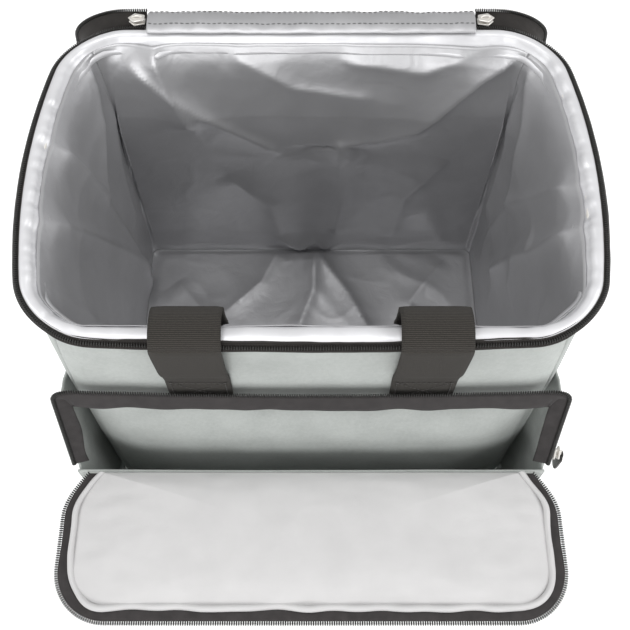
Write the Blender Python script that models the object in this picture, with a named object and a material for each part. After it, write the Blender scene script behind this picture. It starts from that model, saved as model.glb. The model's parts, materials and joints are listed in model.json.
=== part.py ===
"""Insulated cooler bag, 24-can size, with its lid folded back and its front pocket open.

Metres, +Z up. The origin is the centre of the base, on the ground. The front faces -Y.
The bag stands open: the lid hangs behind the back panel, the pocket flap lies forward,
the front handle is draped over the rim into the bag and the rear handle hangs down.
"""

import math

import bmesh
import bpy
from mathutils import Matrix, Vector

# Body, measured on the outer fabric
BODY_WIDTH = 0.284
BODY_DEPTH = 0.202
BODY_HEIGHT = 0.244
CORNER_RADIUS_BASE = 0.014
CORNER_RADIUS_RIM = 0.030
SIDE_BOW = 0.013
FRONT_BOW = 0.004

# Layers
FABRIC = 0.0016
FOAM = 0.0055
LINER = 0.0010
GAP = 0.0003

# Rim
LIP_WIDTH = 0.010
LIP_THICKNESS = 0.0020
TAPE_THICKNESS = 0.0008
TAPE_DROP = 0.008
RIM_FLARE = 0.0036
COIL_RADIUS = 0.0011

# Lid, hanging behind the bag
HINGE_STRIP_WIDTH = 0.200
HINGE_STRIP_RUN = 0.019
HINGE_STRIP_DROP = 0.004
LID_HANG_ANGLE = math.radians(20)
LID_CLOSED_LIFT = 0.0053
LID_CLOSED_TILT = math.radians(2.7)

# Webbing and handles
WEBBING_WIDTH = 0.038
WEBBING = 0.0022
HANDLE_HALF_SPACING = 0.063
HANDLE_LEG = 0.085
HANDLE_TWIST = math.radians(85)
REAR_HANDLE_TWIST = math.radians(60)
DRAPE_CLEARANCE = 0.00065
ANCHOR_BOTTOM = BODY_HEIGHT - 0.0785
ANCHOR_TOP = BODY_HEIGHT - 0.052
REAR_FOLD_DROP = 0.038
REAR_FOLD_RADIUS = 0.0036

# Front pocket
POCKET_WIDTH = BODY_WIDTH + 0.008
POCKET_DEPTH = 0.0305
POCKET_FLOOR = 0.004
POCKET_HINGE_HEIGHT = BODY_HEIGHT - 0.1355
POCKET_ZIP_HEIGHT = BODY_HEIGHT - 0.065
POCKET_TAPE = 0.008
FLAP_LENGTH = 0.084
FLAP_CORNER_RADIUS = 0.026
FLAP_TAPE = 0.0042
BINDING = 0.0030

# Sliders and pullers
SLIDER_LENGTH = 0.0105
SLIDER_WIDTH = 0.0080
SLIDER_THICKNESS = 0.0048
PULLER_LENGTH = 0.022
PULLER_WIDTH = 0.0075
PULLER_THICKNESS = 0.0018

HALF_WIDTH = BODY_WIDTH / 2
HALF_DEPTH = BODY_DEPTH / 2
WALL = FABRIC + FOAM + LINER + 2 * GAP
DRAPE_RADIUS = WALL / 2 + RIM_FLARE + 2 * GAP + 2 * COIL_RADIUS + WEBBING / 2 + DRAPE_CLEARANCE
FLOOR_TOP = FABRIC + FOAM + LINER + 2 * GAP
WALL_TOP = BODY_HEIGHT - LIP_THICKNESS - GAP
LID_THICKNESS = FABRIC + FOAM + LINER + 2 * GAP
FLAT_SHARE = 0.8
FLAT_STEPS = 8
ARC_STEPS = 3
WALL_ROWS = 6


def linear(value):
    return value / 12.92 if value <= 0.04045 else ((value + 0.055) / 1.055) ** 2.4


def material(name, colour, roughness, metallic=0.0):
    made = bpy.data.materials.new(name)
    made.use_nodes = True
    shader = made.node_tree.nodes["Principled BSDF"]
    red, green, blue = (linear(int(colour[i : i + 2], 16) / 255) for i in (0, 2, 4))
    shader.inputs["Base Color"].default_value = (red, green, blue, 1)
    shader.inputs["Roughness"].default_value = roughness
    shader.inputs["Metallic"].default_value = metallic
    made.diffuse_color = (red, green, blue, 1)
    return made


def add_object(name, mesh, parent=None, smooth=False):
    """Link a mesh; its place is in its mesh, and a moving piece's origin goes to its parent."""
    body = bpy.data.objects.new(name, mesh)
    bpy.context.scene.collection.objects.link(body)
    if smooth:
        mesh.shade_smooth()
        mesh.set_sharp_from_angle(angle=math.radians(40))
    if parent is not None:
        mesh.transform(Matrix.Translation(-parent.location))
        body.parent = parent
    return body


def pivot(name, place):
    empty = bpy.data.objects.new(name, None)
    empty.location = place
    bpy.context.scene.collection.objects.link(empty)
    return empty


def loft(name, rings, finish, parent=None, closed=False, smooth=False):
    """Skin a row of rings of one even length; an open row is closed with strips of quads.

    The ring's first half is its outer skin and the rest its inner skin. Both are cut into
    triangles along the same diagonals, so thin layers keep their gap on curved walls.
    """
    bm = bmesh.new()
    rows = [[bm.verts.new(point) for point in ring] for ring in rings]
    size = len(rows[0])
    pairs = list(zip(rows, rows[1:]))
    if closed:
        pairs.append((rows[-1], rows[0]))
    for one, other in pairs:
        for i in range(size):
            j = (i + 1) % size
            if i < size // 2:
                bm.faces.new((one[i], one[j], other[j]))
                bm.faces.new((one[i], other[j], other[i]))
            else:
                bm.faces.new((one[i], one[j], other[i]))
                bm.faces.new((one[j], other[j], other[i]))
    if not closed:
        for ring in (rows[0], rows[-1]):
            for i in range(size // 2 - 1):
                bm.faces.new((ring[i], ring[i + 1], ring[size - 2 - i], ring[size - 1 - i]))
    bmesh.ops.recalc_face_normals(bm, faces=bm.faces)
    mesh = bpy.data.meshes.new(name)
    bm.to_mesh(mesh)
    bm.free()
    mesh.materials.append(finish)
    return add_object(name, mesh, parent, smooth)


def plate(name, outline, low, high, finish, place=None, parent=None):
    """Extrude a flat outline between two heights, then put it in its place."""
    bm = bmesh.new()
    bottom = bm.faces.new([bm.verts.new((x, y, low)) for x, y in outline])
    grown = bmesh.ops.extrude_face_region(bm, geom=[bottom])
    top = [item for item in grown["geom"] if isinstance(item, bmesh.types.BMVert)]
    bmesh.ops.translate(bm, verts=top, vec=(0, 0, high - low))
    if place is not None:
        bmesh.ops.transform(bm, matrix=place, verts=bm.verts)
    bmesh.ops.recalc_face_normals(bm, faces=bm.faces)
    mesh = bpy.data.meshes.new(name)
    bm.to_mesh(mesh)
    bm.free()
    mesh.materials.append(finish)
    return add_object(name, mesh, parent)


# ---- the body's outline -------------------------------------------------------------


def corner_radius(z):
    share = min(max(z / BODY_HEIGHT, 0), 1)
    return CORNER_RADIUS_BASE + (CORNER_RADIUS_RIM - CORNER_RADIUS_BASE) * share**6


def bowed(x, y, z):
    """The walls swell outwards towards the rim, and keep their corners."""
    share = min(max(z / BODY_HEIGHT, 0), 1) ** 1.5
    side = SIDE_BOW / HALF_WIDTH * share * max(0, 1 - (y / HALF_DEPTH) ** 2)
    front = FRONT_BOW / HALF_DEPTH * share * max(0, 1 - (x / HALF_WIDTH) ** 2) if y < 0 else 0
    return x * (1 + side), y * (1 + front)


def around(station, inset, z):
    """A point on the body's outline. Stations 0, 1, 2, 3 are the middles of front, right, back, left."""
    side = round(station)
    t = (station - side) * 2
    quarter = side % 4
    half, reach = (HALF_WIDTH, HALF_DEPTH) if quarter % 2 == 0 else (HALF_DEPTH, HALF_WIDTH)
    radius = corner_radius(z)
    if abs(t) <= FLAT_SHARE:
        along, out = t / FLAT_SHARE * (half - radius), reach - inset
    else:
        turn = (abs(t) - FLAT_SHARE) / (1 - FLAT_SHARE) * math.pi / 4
        along = math.copysign(half - radius + (radius - inset) * math.sin(turn), t)
        out = reach - radius + (radius - inset) * math.cos(turn)
    x, y = ((along, -out), (out, along), (-along, out), (-out, -along))[quarter]
    x, y = bowed(x, y, z)
    return Vector((x, y, z))


def stations(start, end):
    """The outline's natural steps between two stations, with both ends."""
    steps = [i / FLAT_STEPS * 2 - 1 for i in range(FLAT_STEPS + 1)]
    local = [FLAT_SHARE * step for step in steps]
    for i in range(1, ARC_STEPS + 1):
        turn = FLAT_SHARE + (1 - FLAT_SHARE) * i / ARC_STEPS
        local += [turn, -turn]
    every = {round(side + t / 2, 6) for side in range(-1, 8) for t in local}
    inside = [place for place in sorted(every) if start + 0.004 < place < end - 0.004]
    return [start, *inside, end]


def sweep(name, section, start, end, finish, parent=None, place=None, smooth=False):
    """Carry a section of (inset, height) points along the outline; a full turn closes on itself."""
    closed = abs(end - start - 4) < 1e-9
    stops = stations(start, end)[: -1 if closed else None]
    rings = [[around(stop, inset, z) for inset, z in section] for stop in stops]
    if place is not None:
        rings = [[place @ point for point in ring] for ring in rings]
    return loft(name, rings, finish, parent, closed, smooth)


def wall_section(outer, inner, low, high):
    heights = [low + (high - low) * i / WALL_ROWS for i in range(WALL_ROWS + 1)]
    return [(outer, z) for z in heights] + [(inner, z) for z in reversed(heights)]


def round_section(inset, z, radius, sides=6):
    turns = [2 * math.pi * i / sides for i in range(sides)]
    return [(inset + radius * math.cos(turn), z + radius * math.sin(turn)) for turn in turns]


def base_outline(inset, z):
    """The whole outline at one height, as (x, y) points."""
    points = [around(stop, inset, z) for stop in stations(-0.5, 3.5)[:-1]]
    return [(point.x, point.y) for point in points]


# ---- body -----------------------------------------------------------------------------


def make_body(finishes):
    fabric, foam, liner = finishes["fabric"], finishes["foam"], finishes["liner"]
    plate("base_panel", base_outline(0, 0), 0, FABRIC, fabric)
    foam_low = FABRIC + GAP
    plate("base_foam", base_outline(FABRIC + GAP, 0), foam_low, foam_low + FOAM, foam)
    wall_inset = WALL + GAP
    plate("liner_floor", base_outline(wall_inset, 0), FLOOR_TOP - LINER, FLOOR_TOP, liner)
    seam = 0.0012 / (CORNER_RADIUS_BASE * math.pi / 4) * (1 - FLAT_SHARE) / 4
    layers = (
        ("outer", fabric, 0, FABRIC, FABRIC + GAP),
        ("foam", foam, FABRIC + GAP, FABRIC + GAP + FOAM, FLOOR_TOP - LINER),
        ("liner", liner, WALL - LINER, WALL, FLOOR_TOP - LINER),
    )
    for layer, finish, outer, inner, low in layers:
        for side, name in enumerate(("front", "right", "back", "left")):
            section = wall_section(outer, inner, low, WALL_TOP)
            sweep(f"{layer}_{name}", section, side - 0.5 + seam, side + 0.5 - seam, finish)


def zip_ends():
    """Where the rim's zip starts and ends, as stations on the back panel."""
    reach = HINGE_STRIP_WIDTH / 2 + 0.0018
    share = reach / (HALF_WIDTH - CORNER_RADIUS_RIM) * FLAT_SHARE / 2
    return 2 + share, 6 - share


def make_rim(finishes):
    top = BODY_HEIGHT
    lip = [(0, top - LIP_THICKNESS), (0, top), (LIP_WIDTH, top), (LIP_WIDTH, top - LIP_THICKNESS)]
    sweep("rim_lip", lip, -0.5, 3.5, finishes["liner"])
    thick = TAPE_THICKNESS
    tape = [
        (-GAP, top - TAPE_DROP),
        (-GAP - thick, top - TAPE_DROP),
        (-GAP - thick, top - 3 * thick),
        (-RIM_FLARE, top - thick),
        (-RIM_FLARE, top),
        (-GAP, top - thick),
    ]
    start, end = zip_ends()
    sweep("rim_zip_tape", tape, start, end, finishes["tape"])
    coil = round_section(-RIM_FLARE - GAP - COIL_RADIUS, top, COIL_RADIUS)
    sweep("rim_zip_coil", coil, start, end, finishes["coil"], smooth=True)


# ---- lid --------------------------------------------------------------------------------


def lid_axis():
    """The hinge axis that carries the lid from hanging behind the bag to lying on the rim."""
    turn = lid_turn()
    hung = Vector((HALF_DEPTH + HINGE_STRIP_RUN, BODY_HEIGHT - HINGE_STRIP_DROP))
    shut = Vector((HALF_DEPTH, BODY_HEIGHT + LID_CLOSED_LIFT))
    spin = Matrix(((math.cos(turn), -math.sin(turn)), (math.sin(turn), math.cos(turn))))
    centre = (Matrix.Identity(2) - spin).inverted() @ (shut - spin @ hung)
    return Vector((0, centre.x, centre.y))


def lid_turn():
    return math.radians(270) - LID_HANG_ANGLE - LID_CLOSED_TILT


def make_lid(finishes):
    """Built flat above the rim, tilted up at the front, then turned back to where it hangs."""
    axis = lid_axis()
    hinge = pivot("lid_hinge", axis)
    rear = Vector((0, HALF_DEPTH, BODY_HEIGHT + LID_CLOSED_LIFT))
    tilt = (
        Matrix.Translation(rear)
        @ Matrix.Rotation(-LID_CLOSED_TILT, 4, "X")
        @ Matrix.Translation((0, -HALF_DEPTH, 0))
    )
    fold = Matrix.Translation(axis) @ Matrix.Rotation(-lid_turn(), 4, "X")
    place = fold @ Matrix.Translation(-axis) @ tilt
    rim = BODY_HEIGHT
    outline = base_outline(0, rim)
    core = base_outline(FABRIC, rim)
    foam_low = LINER + GAP
    plate("lid_liner", outline, 0, LINER, finishes["liner"], place, hinge)
    plate("lid_foam", core, foam_low, foam_low + FOAM, finishes["foam"], place, hinge)
    panel_low = foam_low + FOAM + GAP
    plate("lid_panel", outline, panel_low, panel_low + FABRIC, finishes["fabric"], place, hinge)
    flat = place @ Matrix.Translation((0, 0, -rim))
    thick = TAPE_THICKNESS
    band = [
        (-GAP, rim + LINER + GAP + FOAM),
        (-GAP - thick, rim + LINER + GAP + FOAM),
        (-GAP - thick, rim + 2 * thick),
        (-RIM_FLARE, rim - thick),
        (-RIM_FLARE, rim - 2 * thick),
        (-GAP, rim + thick),
    ]
    start, end = zip_ends()
    sweep("lid_zip_tape", band, start, end, finishes["tape"], hinge, flat)
    coil = round_section(-RIM_FLARE - GAP - COIL_RADIUS, rim - 2 * thick, COIL_RADIUS)
    sweep("lid_zip_coil", coil, start, end, finishes["coil"], hinge, flat, True)
    return hinge


def make_hinge_strip(finishes):
    """The strip that joins lid and body, arched between the rim and the hanging lid."""
    start = Vector((HALF_DEPTH + GAP, BODY_HEIGHT - LINER))
    end = Vector((HALF_DEPTH + HINGE_STRIP_RUN, BODY_HEIGHT - HINGE_STRIP_DROP + 2 * GAP))
    crown = Vector(((start.x + end.x) / 2, start.y + HINGE_STRIP_DROP + 2 * LINER))
    rows = []
    for i in range(9):
        t = i / 8
        middle = crown * 2 - (start + end) / 2
        point = start * (1 - t) ** 2 + middle * 2 * t * (1 - t) + end * t**2
        rows.append(point)
    rings = []
    for place in rows:
        left, right = -HINGE_STRIP_WIDTH / 2, HINGE_STRIP_WIDTH / 2
        low, high = place.y, place.y + LINER
        corners = ((left, low), (left, high), (right, high), (right, low))
        rings.append([Vector((x, place.x, z)) for x, z in corners])
    loft("lid_hinge_strip", rings, finishes["liner"])


# ---- webbing ------------------------------------------------------------------------------


def ribbon(name, rows, finish, parent=None):
    """A strap through rows of (centre, half-width vector, half-thickness vector)."""
    rings = []
    for centre, wide, thick in rows:
        near, far = centre - wide, centre + wide
        rings.append([near - thick, near + thick, far + thick, far - thick])
    return loft(name, rings, finish, parent)


def front_surface(x, z):
    return bowed(x, -HALF_DEPTH, z)[1]


def drape_centre():
    """The line that the front straps turn about as they pass over the rim."""
    rim_y = -HALF_DEPTH - FRONT_BOW
    return Vector((0, rim_y + WALL / 2, BODY_HEIGHT - 0.001))


def rear_fold_centre():
    out = HALF_DEPTH + GAP + WEBBING + REAR_FOLD_RADIUS
    return Vector((0, out, BODY_HEIGHT - REAR_FOLD_DROP))


def edge_on(path, x, finish, name):
    """A strap that keeps its width along X and bends in the YZ plane."""
    rows = []
    for i, (y, z) in enumerate(path):
        y0, z0 = path[max(i - 1, 0)]
        y1, z1 = path[min(i + 1, len(path) - 1)]
        normal = Vector((0, z1 - z0, y0 - y1)).normalized() * WEBBING / 2
        rows.append((Vector((x, y, z)), Vector((WEBBING_WIDTH / 2, 0, 0)), normal))
    return ribbon(name, rows, finish)


def make_front_straps(finishes):
    over = drape_centre()
    for side, x in (("left", -HANDLE_HALF_SPACING), ("right", HANDLE_HALF_SPACING)):
        out = front_surface(abs(x) - WEBBING_WIDTH / 2, ANCHOR_TOP) - 2 * GAP - WEBBING / 2
        anchor = [(out, ANCHOR_BOTTOM), (out, ANCHOR_TOP)]
        edge_on(anchor, x, finishes["webbing"], f"front_strap_anchor_{side}")
        leg_y = over.y - DRAPE_RADIUS
        rise = over.z - ANCHOR_TOP
        path = [
            (out, ANCHOR_TOP + GAP),
            (out - 0.0015, ANCHOR_TOP + 0.15 * rise),
            (out - 0.0045, ANCHOR_TOP + 0.35 * rise),
            (leg_y + 0.0015, ANCHOR_TOP + 0.65 * rise),
        ]
        for i in range(9):
            turn = math.pi * i / 8
            path.append((over.y - DRAPE_RADIUS * math.cos(turn), over.z + DRAPE_RADIUS * math.sin(turn)))
        edge_on(path, x, finishes["webbing"], f"front_strap_bend_{side}")


def make_rear_straps(finishes):
    fold = rear_fold_centre()
    for side, x in (("left", -HANDLE_HALF_SPACING), ("right", HANDLE_HALF_SPACING)):
        out = HALF_DEPTH + GAP + WEBBING / 2
        anchor = [(out, ANCHOR_BOTTOM), (out, fold.z - 0.004)]
        edge_on(anchor, x, finishes["webbing"], f"rear_strap_anchor_{side}")
        path = [(out, fold.z - 0.004 + GAP), (out, fold.z)]
        for i in range(1, 7):
            turn = math.pi * i / 6
            y = fold.y - REAR_FOLD_RADIUS * math.cos(turn)
            path.append((y, fold.z + REAR_FOLD_RADIUS * math.sin(turn)))
        edge_on(path, x, finishes["webbing"], f"rear_strap_bend_{side}")


def handle_rows(leg_y, top, twist, lead, room):
    """A hanging loop: two legs joined by a half turn, the webbing twisting on the way down.

    The twist takes up the room behind the legs first, and then pushes the loop away.
    """
    spacing = HANDLE_HALF_SPACING
    flat = []
    for i in range(8):
        flat.append((-spacing, -lead - (HANDLE_LEG - lead) * i / 7, 1, 0))
    for i in range(1, 16):
        turn = math.pi * i / 16
        x, z = -spacing * math.cos(turn), -HANDLE_LEG - spacing * math.sin(turn)
        flat.append((x, z, math.cos(turn), math.sin(turn)))
    for i in range(8):
        flat.append((spacing, -HANDLE_LEG + (HANDLE_LEG - lead) * i / 7, -1, 0))
    rows = []
    for i, (x, z, across, down) in enumerate(flat):
        share = min(i, len(flat) - 1 - i) / 11
        share = min(1, max(0, share))
        angle = twist * share * share * (3 - 2 * share)
        inward = Vector((across, 0, down))
        wide = inward * math.cos(angle) + Vector((0, math.sin(angle), 0))
        thick = Vector((0, math.cos(angle), 0)) - inward * math.sin(angle)
        away = (WEBBING_WIDTH / 2 - room) * math.sin(angle)
        centre = Vector((x, leg_y + away, top + z))
        rows.append((centre, wide * WEBBING_WIDTH / 2, thick * WEBBING / 2))
    return rows


def make_handles(finishes):
    over = drape_centre()
    hinge = pivot("front_handle_pivot", over)
    leg_y = over.y + DRAPE_RADIUS
    room = leg_y - (-HALF_DEPTH + WALL) - 3 * GAP
    rows = handle_rows(leg_y, over.z, HANDLE_TWIST, GAP, room)
    ribbon("front_handle_loop", rows, finishes["webbing"], hinge)
    fold = rear_fold_centre()
    hinge = pivot("rear_handle_pivot", fold)
    leg_y = fold.y + REAR_FOLD_RADIUS
    room = leg_y - (HALF_DEPTH + GAP + WEBBING) - WEBBING / 2 - 2 * GAP
    rows = handle_rows(leg_y, fold.z, REAR_HANDLE_TWIST, GAP, room)
    ribbon("rear_handle_loop", rows, finishes["webbing"], hinge)


# ---- front pocket ----------------------------------------------------------------------------


def pocket_front_y():
    return -HALF_DEPTH - POCKET_DEPTH


def flap_hinge():
    return Vector((0, pocket_front_y() - 0.001, POCKET_HINGE_HEIGHT))


def make_pouch(finishes):
    half = POCKET_WIDTH / 2
    front = pocket_front_y()
    fabric = finishes["fabric"]
    high = POCKET_HINGE_HEIGHT - 0.001
    face = [(-half, front), (half, front), (half, front + FABRIC), (-half, front + FABRIC)]
    plate("pocket_front", face, POCKET_FLOOR, high, fabric)
    inner = half - FABRIC - GAP
    back = -HALF_DEPTH - FRONT_BOW - GAP
    floor = [(-inner, front + FABRIC + GAP), (inner, front + FABRIC + GAP), (inner, back), (-inner, back)]
    plate("pocket_bottom", floor, POCKET_FLOOR, POCKET_FLOOR + FABRIC, fabric)
    rear = -HALF_DEPTH + 0.011
    behind_tape = POCKET_TAPE / 2 + GAP
    zip_low, zip_high = side_zip_bottom(), side_zip_top()
    top = zip_high.z - 0.003
    for side, sign in (("left", -1), ("right", 1)):
        outline = [
            (front + FABRIC + GAP, POCKET_FLOOR),
            (front + FABRIC + GAP, high - POCKET_TAPE),
            (zip_low.y + behind_tape, high),
            (zip_high.y + behind_tape, top),
            (rear, top),
            (rear, POCKET_FLOOR),
        ]
        upright = Matrix(((0, 0, sign, 0), (1, 0, 0, 0), (0, 1, 0, 0), (0, 0, 0, 1)))
        plate(f"pocket_gusset_{side}", outline, half - FABRIC, half, fabric, upright)


def side_zip_bottom():
    return Vector((POCKET_WIDTH / 2 + 0.0016, pocket_front_y() + 0.0035, POCKET_HINGE_HEIGHT + 0.003))


def side_zip_top():
    return Vector((POCKET_WIDTH / 2 + 0.0022, -HALF_DEPTH - 0.0085, POCKET_ZIP_HEIGHT - 0.009))


def pocket_zip_path():
    """The right half of the pocket's zip line, from the middle of the front to the flap's hinge."""
    reach = POCKET_WIDTH / 2 - 0.010
    clear_of_straps = 0.001 + 2 * GAP + WEBBING + COIL_RADIUS + 4 * GAP
    points = []
    for i in range(8):
        x = reach * i / 7
        y = front_surface(x, POCKET_ZIP_HEIGHT) - clear_of_straps
        points.append(Vector((x, y, POCKET_ZIP_HEIGHT)))
    top, bottom = side_zip_top(), side_zip_bottom()
    start = points[-1]
    bend = Vector((top.x, start.y, start.z))
    for i in range(1, 5):
        t = i / 5
        points.append(start * (1 - t) ** 2 + bend * 2 * t * (1 - t) + top * t**2)
    for i in range(5):
        points.append(top.lerp(bottom, i / 4))
    return points


def make_pocket_zip(finishes):
    """The body half of the pocket's zip: coil on the free edge, tape running back to the bag."""
    half = pocket_zip_path()
    mirrored = [Vector((-point.x, point.y, point.z)) for point in half[:0:-1]]
    line = mirrored + half
    top, bottom = side_zip_top(), side_zip_bottom()
    tape_rings, coil_rings = [], []
    for i, point in enumerate(line):
        before, after = line[max(i - 1, 0)], line[min(i + 1, len(line) - 1)]
        along = (after - before).normalized()
        share = min(1, max(0, (POCKET_ZIP_HEIGHT - point.z) / (POCKET_ZIP_HEIGHT - top.z)))
        sign = math.copysign(1, point.x)
        down = Vector((0, 0.0012, -POCKET_TAPE))
        inward = Vector((-sign * POCKET_TAPE * 0.82, 0.0018, 0))
        back = down.lerp(inward, share)
        back -= along * back.dot(along)
        normal = along.cross(back).normalized() * TAPE_THICKNESS / 2
        near = point + back.normalized() * (COIL_RADIUS + GAP)
        far = point + back
        tape_rings.append([near - normal, near + normal, far + normal, far - normal])
        side, up = back.normalized() * COIL_RADIUS, normal.normalized() * COIL_RADIUS
        turns = [2 * math.pi * j / 6 for j in range(6)]
        coil_rings.append([point + side * math.cos(turn) + up * math.sin(turn) for turn in turns])
    loft("pocket_zip_tape", tape_rings, finishes["tape"])
    loft("pocket_zip_coil", coil_rings, finishes["coil"], smooth=True)


def flap_outline(inset, closed=True):
    """The flap's edge from the hinge's left end, round the two front corners, to its right end."""
    half = POCKET_WIDTH / 2 - inset
    radius = FLAP_CORNER_RADIUS - inset
    near = flap_hinge().y - 0.0015
    far = flap_hinge().y - FLAP_LENGTH + inset
    points = [(-half, near), (-half, near * 0.6 + (far + radius) * 0.4)]
    for i in range(7):
        turn = math.pi / 2 * i / 6
        points.append((-half + radius - radius * math.cos(turn), far + radius - radius * math.sin(turn)))
    points += [(-half / 3, far), (half / 3, far)]
    return points + [(-x, y) for x, y in reversed(points[:-2])]


def ring_round_flap(name, inset_out, inset_in, low, high, finish, parent):
    outer, inner = flap_outline(inset_out), flap_outline(inset_in)
    rings = []
    for (x0, y0), (x1, y1) in zip(outer, inner):
        corners = ((x0, y0, low), (x0, y0, high), (x1, y1, high), (x1, y1, low))
        rings.append([Vector(corner) for corner in corners])
    return loft(name, rings, finish, parent)


def make_flap(finishes):
    """Lies forward from the pocket's mouth: outer fabric below, lining above."""
    hinge = pivot("flap_hinge", flap_hinge())
    level = POCKET_HINGE_HEIGHT
    plate("flap_panel", flap_outline(0), level - FABRIC, level, finishes["fabric"], None, hinge)
    lining = flap_outline(BINDING + GAP)
    plate("flap_lining", lining, level + GAP, level + GAP + LINER, finishes["lining"], None, hinge)
    ring_round_flap(
        "flap_binding", 0, BINDING, level + GAP, level + GAP + BINDING, finishes["lining"], hinge
    )
    mid = level - FABRIC / 2
    thick = TAPE_THICKNESS / 2
    ring_round_flap(
        "flap_zip_tape", -FLAP_TAPE, -GAP, mid - thick, mid + thick, finishes["tape"], hinge
    )
    start = -FLAP_TAPE - GAP
    ring_round_flap(
        "flap_zip_coil", start - 2 * COIL_RADIUS, start, mid - COIL_RADIUS, mid + COIL_RADIUS,
        finishes["coil"], hinge,
    )


# ---- sliders ----------------------------------------------------------------------------------


def slider_outline():
    """Heart-shaped from above: wide where the two chain halves enter, narrow where they leave."""
    long, wide = SLIDER_LENGTH / 2, SLIDER_WIDTH / 2
    return [
        (-long, -wide * 0.55),
        (-long * 0.2, -wide * 0.75),
        (long * 0.45, -wide),
        (long, -wide * 0.55),
        (long * 0.75, 0),
        (long, wide * 0.55),
        (long * 0.45, wide),
        (-long * 0.2, wide * 0.75),
        (-long, wide * 0.55),
    ]


def puller_outline():
    """A flat oval tab hung from its top end."""
    wide = PULLER_WIDTH / 2
    points = []
    for i in range(9):
        turn = math.pi * i / 8
        points.append((wide * 0.6 * math.cos(turn), -wide * 0.6 + wide * 0.6 * math.sin(turn)))
    for i in range(9):
        turn = math.pi + math.pi * i / 8
        points.append((wide * math.cos(turn), -PULLER_LENGTH + wide + wide * math.sin(turn)))
    return points


def make_main_sliders(finishes):
    y = HALF_DEPTH + RIM_FLARE + 2 * COIL_RADIUS + 3 * GAP + SLIDER_WIDTH / 2
    low = BODY_HEIGHT - 0.001
    for side, sign in (("left", -1), ("right", 1)):
        x = sign * (HINGE_STRIP_WIDTH / 2 + 0.0015 + SLIDER_LENGTH / 2)
        carriage = pivot(f"main_slider_{side}_track", (x, y, low))
        place = Matrix.Translation((x, y, low)) @ Matrix.Scale(sign, 4, (1, 0, 0))
        name = f"main_slider_{side}"
        plate(name, slider_outline(), 0, SLIDER_THICKNESS, finishes["metal"], place, carriage)
        hang = Vector((x, y - SLIDER_WIDTH / 2 + 0.0015, low - 2 * GAP))
        swing = pivot(f"main_puller_{side}_pivot", hang)
        upright = Matrix.Translation(hang) @ Matrix.Rotation(math.pi / 2, 4, "X")
        half = PULLER_THICKNESS / 2
        plate(f"main_puller_{side}", puller_outline(), -half, half, finishes["puller"], upright, swing)


def make_pocket_slider(finishes):
    """At the bottom of the right-hand run of the pocket's zip, just outside the coil."""
    bottom, top = side_zip_bottom(), side_zip_top()
    along = (top - bottom).normalized()
    x = bottom.x + COIL_RADIUS + 2 * GAP
    start = bottom + along * (SLIDER_LENGTH / 2 + 0.002)
    centre = Vector((x, start.y + 0.0025, start.z))
    carriage = pivot("pocket_slider_track", centre)
    out = Vector((1, 0, 0))
    along_flat = Vector((0, along.y, along.z)).normalized()
    across = out.cross(along_flat)
    place = Matrix.Identity(4)
    for i, axis in enumerate((along_flat, across, out)):
        for j in range(3):
            place[j][i] = axis[j]
    place = Matrix.Translation(centre) @ place
    plate("pocket_slider", slider_outline(), 0, SLIDER_THICKNESS, finishes["metal"], place, carriage)
    hang = centre + Vector((SLIDER_THICKNESS + GAP + PULLER_THICKNESS / 2, 0, 0))
    swing = pivot("pocket_puller_pivot", hang)
    quarter = Matrix.Rotation(math.pi / 2, 4, "Z") @ Matrix.Rotation(math.pi / 2, 4, "X")
    upright = Matrix.Translation(hang) @ quarter
    half = PULLER_THICKNESS / 2
    plate("pocket_puller", puller_outline(), -half, half, finishes["puller"], upright, swing)


def main():
    for old in list(bpy.data.objects):
        bpy.data.objects.remove(old, do_unlink=True)
    finishes = {
        "fabric": material("heather polyester", "B0B5B2", 0.9),
        "foam": material("closed-cell foam", "E8E6E0", 0.8),
        "liner": material("silver PEVA", "A9ABAA", 0.35, 0.3),
        "tape": material("woven zip tape", "3A3733", 0.85),
        "coil": material("nylon zip coil", "2B2A28", 0.5),
        "webbing": material("polyester webbing", "37332E", 0.9),
        "lining": material("pale polyester lining", "DDDCDC", 0.8),
        "metal": material("nickel-plated zinc", "F0EEEA", 0.25, 1.0),
        "puller": material("black-coated zinc", "2C2A29", 0.4, 0.5),
    }
    make_body(finishes)
    make_rim(finishes)
    make_lid(finishes)
    make_hinge_strip(finishes)
    make_front_straps(finishes)
    make_rear_straps(finishes)
    make_handles(finishes)
    make_pouch(finishes)
    make_pocket_zip(finishes)
    make_flap(finishes)
    make_main_sliders(finishes)
    make_pocket_slider(finishes)


main()
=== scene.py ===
import json
import math

import bmesh
import bpy
import numpy as np
from mathutils import Matrix, Vector, noise


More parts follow.
